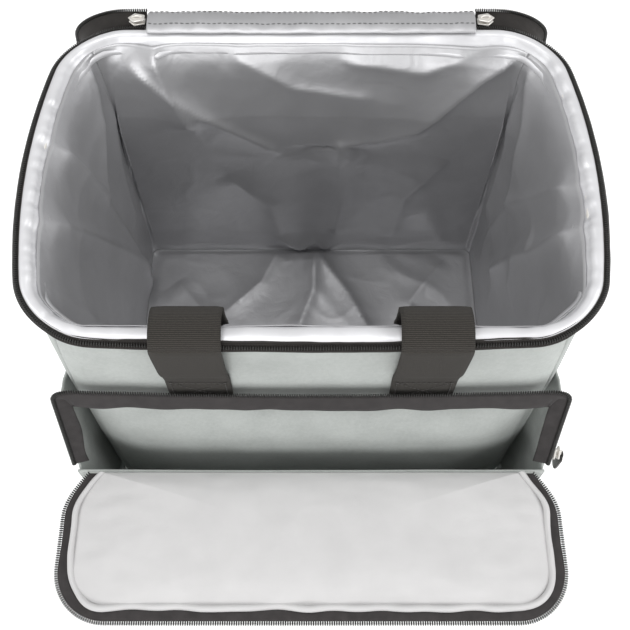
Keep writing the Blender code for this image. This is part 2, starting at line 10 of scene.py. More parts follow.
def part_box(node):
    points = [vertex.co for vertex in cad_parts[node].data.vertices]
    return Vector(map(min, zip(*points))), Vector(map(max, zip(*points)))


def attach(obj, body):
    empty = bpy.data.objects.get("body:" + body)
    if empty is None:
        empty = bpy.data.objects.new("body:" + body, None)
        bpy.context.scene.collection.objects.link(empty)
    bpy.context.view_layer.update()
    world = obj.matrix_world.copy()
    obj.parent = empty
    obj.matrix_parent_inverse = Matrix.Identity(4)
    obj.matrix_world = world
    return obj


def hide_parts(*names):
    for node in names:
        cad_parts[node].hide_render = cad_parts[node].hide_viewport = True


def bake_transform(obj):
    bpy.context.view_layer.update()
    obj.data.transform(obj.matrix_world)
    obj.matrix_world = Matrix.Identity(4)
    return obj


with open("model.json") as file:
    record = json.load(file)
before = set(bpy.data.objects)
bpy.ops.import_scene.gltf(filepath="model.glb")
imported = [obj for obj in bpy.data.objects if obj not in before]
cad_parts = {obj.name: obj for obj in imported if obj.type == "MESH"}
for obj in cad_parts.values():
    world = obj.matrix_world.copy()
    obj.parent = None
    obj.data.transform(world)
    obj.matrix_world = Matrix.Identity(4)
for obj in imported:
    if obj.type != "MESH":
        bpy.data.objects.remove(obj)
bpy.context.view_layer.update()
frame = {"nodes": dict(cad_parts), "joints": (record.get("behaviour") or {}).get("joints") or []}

bl_info = {
    "name": "Insulated cooler bag",
    "version": (1, 0, 0),
    "blender": (4, 5, 0),
    "location": "View3D > Sidebar > Cooler bag",
    "description": "Builds a soft cooler bag, its lid, pocket, handles and zips round a packed frame",
    "category": "Object",
}

MM = 0.001
FLAT_SHARE = 0.8
BACK_MIDDLE = 2.0


def from_frame():
    """The driving sizes, read off the frame's boxes."""
    base_low, base_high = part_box("base_panel")
    lip_low, lip_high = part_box("rim_lip")
    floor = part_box("liner_floor")[1]
    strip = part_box("lid_hinge_strip")
    return {
        "width": base_high[0] - base_low[0],
        "depth": base_high[1] - base_low[1],
        "height": lip_high[2],
        "side_bow": lip_high[0] - base_high[0],
        "front_bow": base_low[1] - lip_low[1],
        "floor": floor[2],
        "strip": strip[1][0] - strip[0][0],
    }


FRAMED = from_frame()
JOINTS = {joint["name"]: joint for joint in frame["joints"]}


def linear_colour(code):
    """An sRGB hex colour as linear red, green and blue."""
    parts = [int(code[i : i + 2], 16) / 255 for i in (1, 3, 5)]
    return tuple(c / 12.92 if c <= 0.04045 else ((c + 0.055) / 1.055) ** 2.4 for c in parts)


def length(name, description, default):
    return bpy.props.FloatProperty(
        name=name, description=description, default=default, unit="LENGTH", precision=4
    )


def colour(name, description, code):
    return bpy.props.FloatVectorProperty(
        name=name, description=description, subtype="COLOR", size=3, default=linear_colour(code)
    )


class CoolerBagSizes(bpy.types.PropertyGroup):
    width: length("Width", "Body, side to side", FRAMED["width"])
    depth: length("Depth", "Body, front to back", FRAMED["depth"])
    height: length("Height", "Ground to rim", FRAMED["height"])
    side_bow: length("Side bow", "How far the side walls swell at the rim", FRAMED["side_bow"])
    front_bow: length("Front bow", "How far the front wall swells at the rim", FRAMED["front_bow"])
    base_radius: length("Base corner radius", "Corners at the ground", 0.014)
    rim_radius: length("Rim corner radius", "Corners at the rim", 0.030)
    wall: length("Wall", "Fabric, foam and liner together", 0.0087)
    floor: length("Floor height", "Top of the liner's floor", FRAMED["floor"])
    strip_width: length("Hinge strip width", "Strip that joins the lid to the back", FRAMED["strip"])
    webbing: length("Webbing width", "Handle straps", 0.0365)
    tooth_pitch: length("Zip pitch", "Spacing of the coil's turns", 0.00135)
    stitch: length("Stitch", "Length of one stitch", 0.0026)


class CoolerBagColours(bpy.types.PropertyGroup):
    fabric: colour("Fabric", "Heather polyester", "#B0B4B1")
    liner: colour("Liner", "Silver film", "#B9B9BB")
    tape: colour("Zip tape", "Woven tape", "#2B2826")
    pocket_tape: colour("Pocket zip tape", "Woven tape of the pocket", "#343131")
    coil: colour("Zip coil", "Nylon monofilament", "#1B1A18")
    webbing: colour("Webbing", "Ribbed strap", "#2B2824")
    lining: colour("Lining", "Pocket lining", "#C8C7C7")
    metal: colour("Sliders", "Plated zinc", "#E8E5E0")
    puller: colour("Pullers", "Coated zinc", "#2A2826")
    foam: colour("Foam", "Closed-cell foam", "#E6E3DC")


def sizes():
    return bpy.context.scene.cooler_bag_sizes


def colours():
    return bpy.context.scene.cooler_bag_colours


# ---- materials ---------------------------------------------------------------------------------


def add_node(tree, kind, links=(), **settings):
    """Add a node; links are (input, other node, output) and settings are inputs or properties."""
    node = tree.nodes.new(kind)
    for key, value in settings.items():
        name = key.replace("_", " ")
        found = next((s for s in node.inputs if s.name == name or s.name == key), None)
        if found is not None and not hasattr(node, key):
            found.default_value = value
        else:
            setattr(node, key, value)
    for socket, other, output in links:
        tree.links.new(other.outputs[output], node.inputs[socket])
    return node


def new_material(name, tint, roughness, **shader_inputs):
    """A Principled material with its uniform values on the shader's own sockets."""
    made = bpy.data.materials.new(name)
    made.use_nodes = True
    tree = made.node_tree
    shader = tree.nodes["Principled BSDF"]
    shader.inputs["Base Color"].default_value = (*tint, 1)
    shader.inputs["Roughness"].default_value = roughness
    for key, value in shader_inputs.items():
        shader.inputs[key.replace("_", " ")].default_value = value
    made.diffuse_color = (*tint, 1)
    return made, tree, shader


def shade(tint, factor):
    return (*(min(1.0, c * factor) for c in tint), 1)


def ramp(tree, source, output, stops):
    """A colour ramp driven by a node's output; stops are (position, colour)."""
    node = add_node(tree, "ShaderNodeValToRGB", [("Fac", source, output)])
    first, last = node.color_ramp.elements
    first.position, first.color = stops[0]
    last.position, last.color = stops[-1]
    for position, tone in stops[1:-1]:
        node.color_ramp.elements.new(position).color = tone
    return node


def speckle(tree, place, size, detail, coordinates="Object"):
    """Cloudy noise with features of about this size."""
    link = ("Vector", place, coordinates)
    return add_node(tree, "ShaderNodeTexNoise", [link], Scale=1 / size, Detail=detail)


def cells(tree, place, size):
    """Round cells of about this size."""
    return add_node(tree, "ShaderNodeTexVoronoi", [("Vector", place, "Object")], Scale=1 / size)


def raised(tree, source, output, strength, distance, below=None):
    """Relief from a node's output, on top of the relief below."""
    links = [("Height", source, output)]
    if below:
        links.append(("Normal", below, "Normal"))
    return add_node(tree, "ShaderNodeBump", links, Strength=strength, Distance=distance)


def bands(tree, place, direction, size):
    """Straight bands across the UV map, this far apart."""
    made = add_node(tree, "ShaderNodeTexWave", [("Vector", place, "UV")], Scale=1 / size / 3.18)
    made.wave_type, made.bands_direction = "BANDS", direction
    return made


def heather_polyester(name, tint, thread=0.55 * MM, contrast=0.10, roughness=0.88):
    """Plain-woven polyester in mixed pale and dark yarns: matt, with a fine mottle and soft fuzz.

    The real weave is about 0.3 mm; it is drawn at about 0.5 mm so that it shows.
    """
    made, tree, shader = new_material(name, tint, roughness, Sheen_Weight=0.06, Sheen_Roughness=0.5)
    place = add_node(tree, "ShaderNodeTexCoord")
    flecks = speckle(tree, place, 2.2 * MM, 6.0)
    flecks.inputs["Roughness"].default_value = 0.75
    patches = speckle(tree, place, 28 * MM, 3.0)
    mixed = add_node(tree, "ShaderNodeMath", [(0, flecks, "Fac"), (1, patches, "Fac")], operation="ADD")
    spread = add_node(tree, "ShaderNodeMapRange", [("Value", mixed, "Value")], From_Min=0.75, From_Max=1.25)
    stops = [(0.0, shade(tint, 1 - contrast)), (1.0, shade(tint, 1 + contrast))]
    tones = ramp(tree, spread, "Result", stops)
    tree.links.new(tones.outputs["Color"], shader.inputs["Base Color"])
    yarn = 1 / thread
    warp = add_node(tree, "ShaderNodeTexVoronoi", [("Vector", place, "Object")], Scale=yarn * 0.8)
    bump = raised(tree, warp, "Distance", 0.35, 0.12 * MM)
    slub = raised(tree, flecks, "Fac", 0.2, 0.2 * MM, bump)
    tree.links.new(slub.outputs["Normal"], shader.inputs["Normal"])
    return made


def silver_peva(name, tint, metallic=0.62):
    """Calendered PEVA film with silver pigment: a soft metallic sheen, faint haze and fine crinkles."""
    made, tree, shader = new_material(name, tint, 0.4, Metallic=metallic)
    place = add_node(tree, "ShaderNodeTexCoord")
    cloud = speckle(tree, place, 35 * MM, 4.0)
    haze = add_node(tree, "ShaderNodeMapRange", [("Value", cloud, "Fac")], To_Min=0.34, To_Max=0.46)
    tree.links.new(haze.outputs["Result"], shader.inputs["Roughness"])
    tones = ramp(tree, cloud, "Fac", [(0.3, shade(tint, 0.93)), (0.7, shade(tint, 1.05))])
    tree.links.new(tones.outputs["Color"], shader.inputs["Base Color"])
    crinkle = speckle(tree, place, 14 * MM, 5.0)
    crinkle.inputs["Distortion"].default_value = 0.8
    fine = speckle(tree, place, 1.6 * MM, 2.0)
    soft = raised(tree, crinkle, "Fac", 0.25, 1.2 * MM)
    grain = raised(tree, fine, "Fac", 0.12, 0.08 * MM, soft)
    tree.links.new(grain.outputs["Normal"], shader.inputs["Normal"])
    return made


def ribbed_webbing(name, tint, rib=1.0 * MM):
    """Polyester webbing with cross ribs: dark yarn, with a painted highlight on each rib's crown, broken up
    by random specks.

    The UV map holds metres: across the strap, then along it.
    """
    made, tree, shader = new_material(name, tint, 0.9, Sheen_Weight=0.03, Sheen_Roughness=0.45)
    place = add_node(tree, "ShaderNodeTexCoord")
    ribs = bands(tree, place, "Y", rib)
    ribs.inputs["Distortion"].default_value = 0.25
    ribs.inputs["Detail"].default_value = 1.0
    yarn = bands(tree, place, "X", 1.1 * MM)
    speck = speckle(tree, place, 0.9 * MM, 3.0, "UV")
    # Painted highlight: the rib crowns are painted up to about twice as light as the yarn; the specks only
    # vary it at random.
    mixed = add_node(tree, "ShaderNodeMath", [(0, ribs, "Fac"), (1, speck, "Fac")], operation="MULTIPLY")
    tones = ramp(tree, mixed, "Value", [(0.05, shade(tint, 0.6)), (0.5, shade(tint, 2.1))])
    tree.links.new(tones.outputs["Color"], shader.inputs["Base Color"])
    bump = raised(tree, ribs, "Fac", 0.9, 0.4 * MM)
    cross = raised(tree, yarn, "Fac", 0.3, 0.12 * MM, bump)
    tree.links.new(cross.outputs["Normal"], shader.inputs["Normal"])
    return made


def woven_tape(name, tint):
    """Zip tape: a tight dark herringbone twill, matt, with a faint lengthwise grain."""
    made, tree, shader = new_material(name, tint, 0.9, Sheen_Weight=0.03)
    place = add_node(tree, "ShaderNodeTexCoord")
    twill = cells(tree, place, 0.7 * MM)
    dust = speckle(tree, place, 6 * MM, 5.0)
    tones = ramp(tree, dust, "Fac", [(0.3, shade(tint, 0.8)), (0.7, shade(tint, 1.2))])
    tree.links.new(tones.outputs["Color"], shader.inputs["Base Color"])
    bump = raised(tree, twill, "Distance", 0.4, 0.15 * MM)
    tree.links.new(bump.outputs["Normal"], shader.inputs["Normal"])
    return made


def nylon_coil(name, tint):
    """Extruded nylon monofilament: smooth and slightly glossy, with small changes of shade."""
    made, tree, shader = new_material(name, tint, 0.3, IOR=1.53)
    place = add_node(tree, "ShaderNodeTexCoord")
    wear = speckle(tree, place, 5 * MM, 3.0)
    tones = ramp(tree, wear, "Fac", [(0.3, shade(tint, 0.75)), (0.75, shade(tint, 1.4))])
    tree.links.new(tones.outputs["Color"], shader.inputs["Base Color"])
    gloss = add_node(tree, "ShaderNodeMapRange", [("Value", wear, "Fac")], To_Min=0.22, To_Max=0.42)
    tree.links.new(gloss.outputs["Result"], shader.inputs["Roughness"])
    return made


def lining_cloth(name, tint):
    """Coated polyester lining: pale, smooth, with a very fine weave and soft creases."""
    made, tree, shader = new_material(name, tint, 0.72, Sheen_Weight=0.15)
    place = add_node(tree, "ShaderNodeTexCoord")
    cloud = speckle(tree, place, 22 * MM, 4.0)
    weave = cells(tree, place, 0.6 * MM)
    tones = ramp(tree, cloud, "Fac", [(0.3, shade(tint, 0.96)), (0.7, shade(tint, 1.03))])
    tree.links.new(tones.outputs["Color"], shader.inputs["Base Color"])
    creases = raised(tree, cloud, "Fac", 0.35, 1.5 * MM)
    bump = raised(tree, weave, "Distance", 0.2, 0.1 * MM, creases)
    tree.links.new(bump.outputs["Normal"], shader.inputs["Normal"])
    return made


def plated_zinc(name, tint, metallic=1.0, roughness=0.2):
    """Die-cast zinc, tumbled and plated or coated: smooth, with faint rub marks."""
    made, tree, shader = new_material(name, tint, roughness, Metallic=metallic)
    place = add_node(tree, "ShaderNodeTexCoord")
    rub = speckle(tree, place, 1.5 * MM, 5.0)
    gloss = add_node(tree, "ShaderNodeMapRange", [("Value", rub, "Fac")])
    gloss.inputs["To Min"].default_value = roughness * 0.7
    gloss.inputs["To Max"].default_value = roughness * 1.6
    tree.links.new(gloss.outputs["Result"], shader.inputs["Roughness"])
    bump = raised(tree, rub, "Fac", 0.08, 0.1 * MM)
    tree.links.new(bump.outputs["Normal"], shader.inputs["Normal"])
    return made


def spun_thread(name, tint):
    """Bonded polyester sewing thread: two plies, slightly shiny."""
    made, tree, shader = new_material(name, tint, 0.5, Sheen_Weight=0.2)
    place = add_node(tree, "ShaderNodeTexCoord")
    ply = speckle(tree, place, 0.5 * MM, 2.0)
    tones = ramp(tree, ply, "Fac", [(0.3, shade(tint, 0.8)), (0.7, shade(tint, 1.1))])
    tree.links.new(tones.outputs["Color"], shader.inputs["Base Color"])
    return made


def cell_foam(name, tint):
    """Closed-cell PE foam: matt, with fine cut cells."""
    made, tree, shader = new_material(name, tint, 0.8)
    place = add_node(tree, "ShaderNodeTexCoord")
    cut = cells(tree, place, 1.2 * MM)
    tones = ramp(tree, cut, "Distance", [(0.0, shade(tint, 0.85)), (0.5, shade(tint, 1.0))])
    tree.links.new(tones.outputs["Color"], shader.inputs["Base Color"])
    bump = raised(tree, cut, "Distance", 0.4, 0.2 * MM)
    tree.links.new(bump.outputs["Normal"], shader.inputs["Normal"])
    return made


def finish(name):
    """The finished material of this name, made the first time it is asked for."""
    known = bpy.data.materials.get(name)
    if known is not None:
        return known
    tints = colours()
    makers = {
        "Heather polyester": lambda n: heather_polyester(n, tints.fabric),
        "Silver PEVA film": lambda n: silver_peva(n, tints.liner),
        "Ribbed webbing": lambda n: ribbed_webbing(n, tints.webbing),
        "Rim zip tape": lambda n: woven_tape(n, tints.tape),
        "Pocket zip tape": lambda n: woven_tape(n, tints.pocket_tape),
        "Nylon zip coil": lambda n: nylon_coil(n, tints.coil),
        # The lip is the liner's own film, painted half as light again: a painted highlight for the lip
        # facing up into the light.
        "Silver PEVA edging": lambda n: silver_peva(n, [1.5 * part for part in tints.liner], 0.3),
        "Pocket lining": lambda n: lining_cloth(n, tints.lining),
        "Plated slider": lambda n: plated_zinc(n, tints.metal, 0.75, 0.32),
        "Coated puller": lambda n: plated_zinc(n, tints.puller, 0.4, 0.35),
        "Grey thread": lambda n: spun_thread(n, linear_colour("#6E706F")),
        "Dark thread": lambda n: spun_thread(n, linear_colour("#2E2B28")),
        "Closed-cell foam": lambda n: cell_foam(n, tints.foam),
    }
    return makers[name](name)


# ---- outline of the body -----------------------------------------------------------------------


def bowed(x, y, z):
    """The walls swell outwards towards the rim, and keep their corners."""
    s = sizes()
    share = min(max(z / s.height, 0), 1) ** 1.5
    half_width, half_depth = s.width / 2, s.depth / 2
    side = s.side_bow / half_width * share * max(0, 1 - (y / half_depth) ** 2)
    front = s.front_bow / half_depth * share * max(0, 1 - (x / half_width) ** 2) if y < 0 else 0
    return x * (1 + side), y * (1 + front)


def around(station, inset, z):
    """A point on the outline; stations 0, 1, 2, 3 are the middles of front, right, back, left."""
    s = sizes()
    side = round(station)
    t = (station - side) * 2
    half, reach = (s.width / 2, s.depth / 2) if side % 2 == 0 else (s.depth / 2, s.width / 2)
    share = min(max(z / s.height, 0), 1) ** 6
    radius = s.base_radius + (s.rim_radius - s.base_radius) * share
    if abs(t) <= FLAT_SHARE:
        along, out = t / FLAT_SHARE * (half - radius), reach - inset
    else:
        turn = (abs(t) - FLAT_SHARE) / (1 - FLAT_SHARE) * math.pi / 4
        along = math.copysign(half - radius + (radius - inset) * math.sin(turn), t)
        out = reach - radius + (radius - inset) * math.cos(turn)
    x, y = ((along, -out), (out, along), (-along, out), (-out, -along))[side % 4]
    x, y = bowed(x, y, z)
    return Vector((x, y, z))


def outward(station, z):
    """The direction that leads out of the wall here."""
    return (around(station, 0, z) - around(station, 2 * MM, z)).normalized()


def zip_ends():
    """Where the rim's zip starts and ends, as stations past the hinge strip."""
    s = sizes()
    reach = s.strip_width / 2 + 1.8 * MM
    share = reach / (s.width / 2 - s.rim_radius) * FLAT_SHARE / 2
    return BACK_MIDDLE + share, BACK_MIDDLE + 4 - share


def ripple(point, size, seed=0.0):
    """Smooth noise from -1 to 1 with features of about this size."""
    return noise.noise(Vector(point) / size + Vector((seed, seed * 1.7, seed * 0.6)))


# ---- mesh helpers ------------------------------------------------------------------------------


def deselect():
    for chosen in bpy.context.selected_objects:
        chosen.select_set(False)


def link_piece(name, mesh, material, smooth=True):
    """Put a mesh in the scene as a piece with this finish."""
    piece = bpy.data.objects.new(name, mesh)
    bpy.context.scene.collection.objects.link(piece)
    mesh.materials.clear()
    mesh.materials.append(finish(material))
    if smooth:
        mesh.shade_smooth()
    return piece


def apply_modifiers(piece):
    deselect()
    bpy.context.view_layer.objects.active = piece
    piece.select_set(True)
    for modifier in list(piece.modifiers):
        bpy.ops.object.modifier_apply(modifier=modifier.name)
    piece.select_set(False)


def face_out(mesh):
    bm = bmesh.new()
    bm.from_mesh(mesh)
    bmesh.ops.recalc_face_normals(bm, faces=bm.faces)
    bm.to_mesh(mesh)
    bm.free()


def cloth(name, rows, material, thickness, closed=False, flip=False, subdivide=0):
    """A cloth sheet through rows of points, thickened away from its face. UVs hold metres."""
    points = np.array([[tuple(point) for point in row] for row in rows])
    count, width = points.shape[:2]
    mesh = bpy.data.meshes.new(name)
    last = count if closed else count - 1
    faces = []
    for i in range(last):
        k = (i + 1) % count
        for j in range(width - 1):
            one = (i * width + j, i * width + j + 1, k * width + j + 1, k * width + j)
            faces.append(one[::-1] if flip else one)
    mesh.from_pydata(points.reshape(-1, 3).tolist(), [], faces)
    across = np.cumsum(np.r_[0, np.linalg.norm(np.diff(points[count // 2], axis=0), axis=1)])
    steps = np.linalg.norm(np.diff(points[:, width // 2], axis=0), axis=1)
    along = np.cumsum(np.r_[0, steps])
    wrap = along[-1] + (steps.mean() if closed else 0)
    layer = mesh.uv_layers.new(name="Metres")
    for polygon in mesh.polygons:
        seam = closed and max(v // width for v in polygon.vertices) == count - 1
        for loop in polygon.loop_indices:
            vertex = mesh.loops[loop].vertex_index
            i, j = divmod(vertex, width)
            v = wrap if seam and i == 0 else along[i]
            layer.data[loop].uv = (across[j], v)
    piece = link_piece(name, mesh, material)
    if thickness:
        thick = piece.modifiers.new("Thickness", "SOLIDIFY")
        thick.thickness, thick.offset, thick.use_even_offset = thickness, -1, False
    if subdivide:
        smooth = piece.modifiers.new("Smooth", "SUBSURF")
        smooth.levels = smooth.render_levels = subdivide
    apply_modifiers(piece)
    return piece


def tube(name, path, section, material, closed=False):
    """Carry a section of (out, up) points along rows of (point, out, up)."""
    bm = bmesh.new()
    rows = []
    for point, out, up in path:
        rows.append([bm.verts.new(point + out * a + up * b) for a, b in section])
    size = len(section)
    pairs = list(zip(rows, rows[1:])) + ([(rows[-1], rows[0])] if closed else [])
    for one, other in pairs:
        for i in range(size):
            j = (i + 1) % size
            bm.faces.new((one[i], one[j], other[j], other[i]))
    if not closed:
        bm.faces.new(rows[0])
        bm.faces.new(rows[-1])
    bmesh.ops.recalc_face_normals(bm, faces=bm.faces)
    mesh = bpy.data.meshes.new(name)
    bm.to_mesh(mesh)
    bm.free()
    return link_piece(name, mesh, material)


def unit_bead(name, size, segments=8, rings=6):
    """A small rounded bar, made as a squashed ball, to be repeated."""
    deselect()
    bpy.ops.mesh.primitive_uv_sphere_add(segments=segments, ring_count=rings, radius=0.5)
    bead = bpy.context.object
    bead.name = name
    bead.scale = size
    bpy.ops.object.transform_apply(location=False, rotation=False, scale=True)
    return bead


def repeat(name, bead, places, material):
    """Copy a small shape to each (point, along, out, up) place, as one piece."""
    base = np.array([vertex.co for vertex in bead.data.vertices])
    faces = [list(polygon.vertices) for polygon in bead.data.polygons]
    points, polygons = [], []
    for i, (point, along, out, up) in enumerate(places):
        points.append(base @ np.array([along, out, up]) + np.array(point))
        polygons += [[v + i * len(base) for v in face] for face in faces]
    mesh = bpy.data.meshes.new(name)
    mesh.from_pydata(np.concatenate(points).tolist(), [], polygons)
    bpy.data.objects.remove(bead)
    return link_piece(name, mesh, material)


def even_steps(path, step, closed=False):
    """Places a fixed step apart along rows of (point, out, up), with the direction of travel."""
    rows = list(path) + ([path[0]] if closed else [])
    gaps = [(b[0] - a[0]).length for a, b in zip(rows, rows[1:])]
    marks = np.cumsum([0] + gaps)
    count = max(2, round(marks[-1] / step))
    places = []
    for k in range(count + (0 if closed else 1)):
        at = marks[-1] * k / count
        i = min(int(np.searchsorted(marks, at, side="right")) - 1, len(gaps) - 1)
        t = (at - marks[i]) / max(gaps[i], 1e-9)
        point = rows[i][0].lerp(rows[i + 1][0], t)
        along = (rows[i + 1][0] - rows[i][0]).normalized()
        out = rows[i][1].lerp(rows[i + 1][1], t)
        out = (out - along * out.dot(along)).normalized()
        places.append((point, along, out, along.cross(out)))
    return places


def coil_teeth(name, path):
    """A row of coil turns, each a rounded bar across the chain."""
    s = sizes()
    bead = unit_bead(name + "-turn", (s.tooth_pitch * 0.8, 2.9 * MM, 2.0 * MM))
    return repeat(name, bead, even_steps(path, s.tooth_pitch), "Nylon zip coil")


def stitches(name, path, material, closed=False, size=0.75 * MM):
    """A row of lockstitches, each a short raised thread sunk into the cloth at both ends."""
    s = sizes()
    bead = unit_bead(name + "-stitch", (s.stitch, size, size * 0.8), 6, 5)
    return repeat(name, bead, even_steps(path, s.stitch * 1.25, closed), material)


def rim_path(inset, z, start, end, count, tilt=0.0, wave=0.0):
    """Rows of (point, out, up) round the rim at a constant inset, optionally a little wavy."""
    path = []
    for i in range(count + 1):
        station = start + (end - start) * i / count
        point = around(station, inset, z)
        out = outward(station, z)
        if wave:
            lift = Vector((0, 0, wave * ripple(point, 45 * MM, 8)))
            point = point + out * wave * ripple(point, 60 * MM, 3) + lift
        up = Vector((0, 0, 1))
        leaned = out * math.cos(tilt) + up * math.sin(tilt)
        path.append((point, leaned, up * math.cos(tilt) - out * math.sin(tilt)))
    return path


def filled(count, place):
    """Rows that fill an outline; place(station, reach) gives the point, reach being 1 at the edge."""
    rows = []
    for i in range(-count, count + 1):
        row = []
        for j in range(-count, count + 1):
            u, v = j / count, i / count
            reach = max(abs(u), abs(v))
            if reach == 0:
                side, t = 0, 0
            elif abs(v) >= abs(u):
                side, t = (0, u / reach) if v < 0 else (2, -u / reach)
            else:
                side, t = (1, v / reach) if u > 0 else (3, -v / reach)
            row.append(place(side + t / 2, reach))
        rows.append(row)
    return rows


def settle(piece, body, slot, *nodes):
    """The piece stands for these nodes, which are hidden, and moves with the body. The slot is not used."""
    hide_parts(*nodes)
    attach(piece, body)
    return piece


def declare_sheet(width, height, area=None):
    """Works out a cloth's flat size, counting a tape under 10 mm high as 12 mm high; nothing is kept or
    returned. The area argument is not used. The hidden edge of a narrow tape is left out by its area.
    """
    if height < 10 * MM:
        area, height = width * height, 12 * MM


# ---- outer fabric ------------------------------------------------------------------------------

SIDES = ("front", "right", "back", "left")
SEAM = 0.0004


def wall_rows(side, columns, count, low, high, inset_at):
    """Rows of points up one wall, from corner seam to corner seam."""
    rows = []
    for k in range(count + 1):
        z = low + (high - low) * k / count
        row = []
        for i in range(columns + 1):
            station = side - 0.5 + SEAM + (1 - 2 * SEAM) * i / columns
            row.append(around(station, inset_at(side, station, z), z))
        rows.append(row)
    return rows


def fabric_inset(side, station, z):
    """Soft swells in the quilted wall, a tuck under the rim and a groove at each corner seam."""
    s = sizes()
    point = around(station, 0, z)
    below = s.height - z
    swell = 0.7 * MM * (ripple(point, 75 * MM, side) + 0.5) * math.sin(math.pi * min(1, z / s.height))
    swell += 0.35 * MM * ripple(point, 26 * MM, side + 5)
    tuck = -1.1 * MM * math.exp(-(((below - 12 * MM) / (7 * MM)) ** 2))
    pucker = 0.5 * MM * ripple((point.x, point.y, z * 0.2), 9 * MM, 11) * math.exp(-below / (22 * MM))
    edge = 0.5 - abs(station - side)
    groove = -1.0 * MM * math.exp(-((edge / 0.006) ** 2))
    fade = min(1, max(0, (below - 8.5 * MM) / (8 * MM))) * min(1, z / (12 * MM))
    if side == 0:
        fade_x = 1 - min(1, abs(point.x) / (0.47 * s.width)) ** 8
        slope = min(1, max(0, (0.178 - z) / 0.062))
        swell += 13 * MM * slope * slope * (3 - 2 * slope) * fade_x * min(1, z / (45 * MM))
    return -(swell + tuck + pucker) * fade - groove * (1 if below > 9 * MM else 0.3)


class COOLER_OT_shell(bpy.types.Operator):
    """Sew the four outer fabric panels and the base panel"""

    bl_idname = "cooler.shell"
    bl_label = "Outer fabric"

    def execute(self, context):
        s = sizes()
        high = s.height - 2.3 * MM
        widths = (s.width, s.depth, s.width, s.depth)
        for side, name in enumerate(SIDES):
            rows = wall_rows(side, 70, 56, 1.9 * MM, high, fabric_inset)
            piece = cloth(f"{name}_fabric", rows, "Heather polyester", 1.4 * MM)
            settle(piece, "bag", "fabric", f"outer_{name}")
            declare_sheet(widths[side], s.height)

        def base_point(station, reach):
            edge = around(station, 0.2 * MM, 0)
            z = 0.35 * MM * (1 + ripple((edge.x * reach, edge.y * reach, 0), 60 * MM)) * (1 - reach**6)
            return Vector((edge.x * reach, edge.y * reach, z))

        base = cloth("base_fabric", filled(30, base_point), "Heather polyester", 1.4 * MM, flip=True)
        settle(base, "bag", "fabric", "base_panel")
        declare_sheet(s.width, s.depth)
        return {"FINISHED"}


def foam_outer(side, station, z):
    """A board's outer face lies just inside the fabric."""
    return 1.9 * MM


def foam_inner(side, station, z):
    """A board's inner face, pinched thin at the rim."""
    s = sizes()
    lean = min(1, max(0, s.height - z) / (26 * MM))
    return 2.3 * MM + (s.wall - 4.1 * MM) * lean * (2 - lean)


class COOLER_OT_foam(bpy.types.Operator):
    """Cut the four foam boards of the walls, thinned at the rim, and finish the two flat ones"""

    bl_idname = "cooler.foam"
    bl_label = "Foam boards"

    def execute(self, context):
        for side, name in enumerate(SIDES):
            low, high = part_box(f"foam_{name}")
            faces = (foam_outer, foam_inner)
            grids = [wall_rows(side, 80, 48, low.z, high.z, inset_at) for inset_at in faces]
            made = board(f"{name}_foam_board", *grids, "Closed-cell foam")
            settle(made, "bag", "foam", f"foam_{name}")
        for name in ("base_foam", "lid_foam"):
            flat = frame["nodes"][name]
            flat.data.materials.clear()
            flat.data.materials.append(finish("Closed-cell foam"))
        return {"FINISHED"}


# ---- liner -------------------------------------------------------------------------------------


def mm(*pairs):
    """Pairs given in millimetres, as metres."""
    return [(a * MM, b * MM) for a, b in pairs]


# Creases: where each runs on its wall (along, height), its rise, and its reach on its two sides.
CREASES = {
    "back": [
        (mm((136, 243), (104, 220), (70, 177), (45, 166), (21, 162), (30, 140)), 5.0, 16, 5),
        (mm((-98, 244), (-88, 212), (-77, 177)), 4.5, 14, 5),
        (mm((-114, 234), (-70, 190), (-20, 150)), 3.2, 12, 4),
        (mm((19, 167), (23, 100), (20, 35)), 3.5, 12, 7),
        (mm((-60, 120), (-30, 80), (-26, 30)), 2.5, 12, 6),
        (mm((95, 140), (70, 90), (66, 30)), 2.5, 14, 6),
        (mm((-26, 34), (-10, 16), (4, 30), (16, 12)), 4.0, 8, 4),
        (mm((110, 244), (70, 226), (20, 232)), 2.5, 10, 6),
        (mm((-50, 238), (-10, 214), (40, 205)), 2.2, 12, 6),
    ],
    "left": [
        (mm((-34, 244), (20, 130), (69, 14)), 4.5, 14, 5),
        (mm((19, 244), (27, 192), (45, 90), (54, 7)), 3.5, 11, 5),
        (mm((88, 244), (60, 200), (30, 170)), 4.0, 12, 5),
        (mm((90, 225), (70, 160), (66, 90)), 3.2, 10, 5),
        (mm((-70, 230), (-50, 150), (-62, 60)), 2.4, 14, 8),
    ],
    "right": [
        (mm((91, 244), (60, 205), (36, 150)), 4.0, 12, 5),
        (mm((91, 236), (74, 170), (70, 90)), 3.2, 10, 5),
        (mm((-38, 244), (-20, 190), (10, 130), (29, 82)), 4.5, 12, 5),
        (mm((-10, 244), (12, 200), (40, 150), (60, 60)), 3.5, 10, 5),
        (mm((-12, 190), (-5, 166), (-9, 120)), 2.5, 10, 7),
        (mm((-75, 200), (-60, 120), (-68, 50)), 2.4, 14, 8),
    ],
    "front": [
        (mm((-90, 240), (-60, 170), (-66, 80)), 2.6, 14, 7),
        (mm((70, 242), (40, 150), (52, 50)), 2.8, 14, 7),
        (mm((-10, 240), (0, 180), (-14, 100)), 2.2, 14, 8),
    ],
    "floor": [
        (mm((4, 90), (2, 50), (-8, 21), (-4, -50)), 3.2, 12, 5),
        (mm((4, 90), (30, 50), (44, 21), (60, -40)), 3.2, 12, 5),
        (mm((-26, 90), (-40, 60), (-80, 20)), 2.6, 12, 6),
        (mm((110, 80), (80, 40), (90, -10)), 2.2, 12, 6),
        (mm((-110, 60), (-70, 10), (-90, -60)), 2.2, 14, 7),
        (mm((-20, -80), (30, -40), (100, -60)), 2.2, 14, 7),
    ],
}


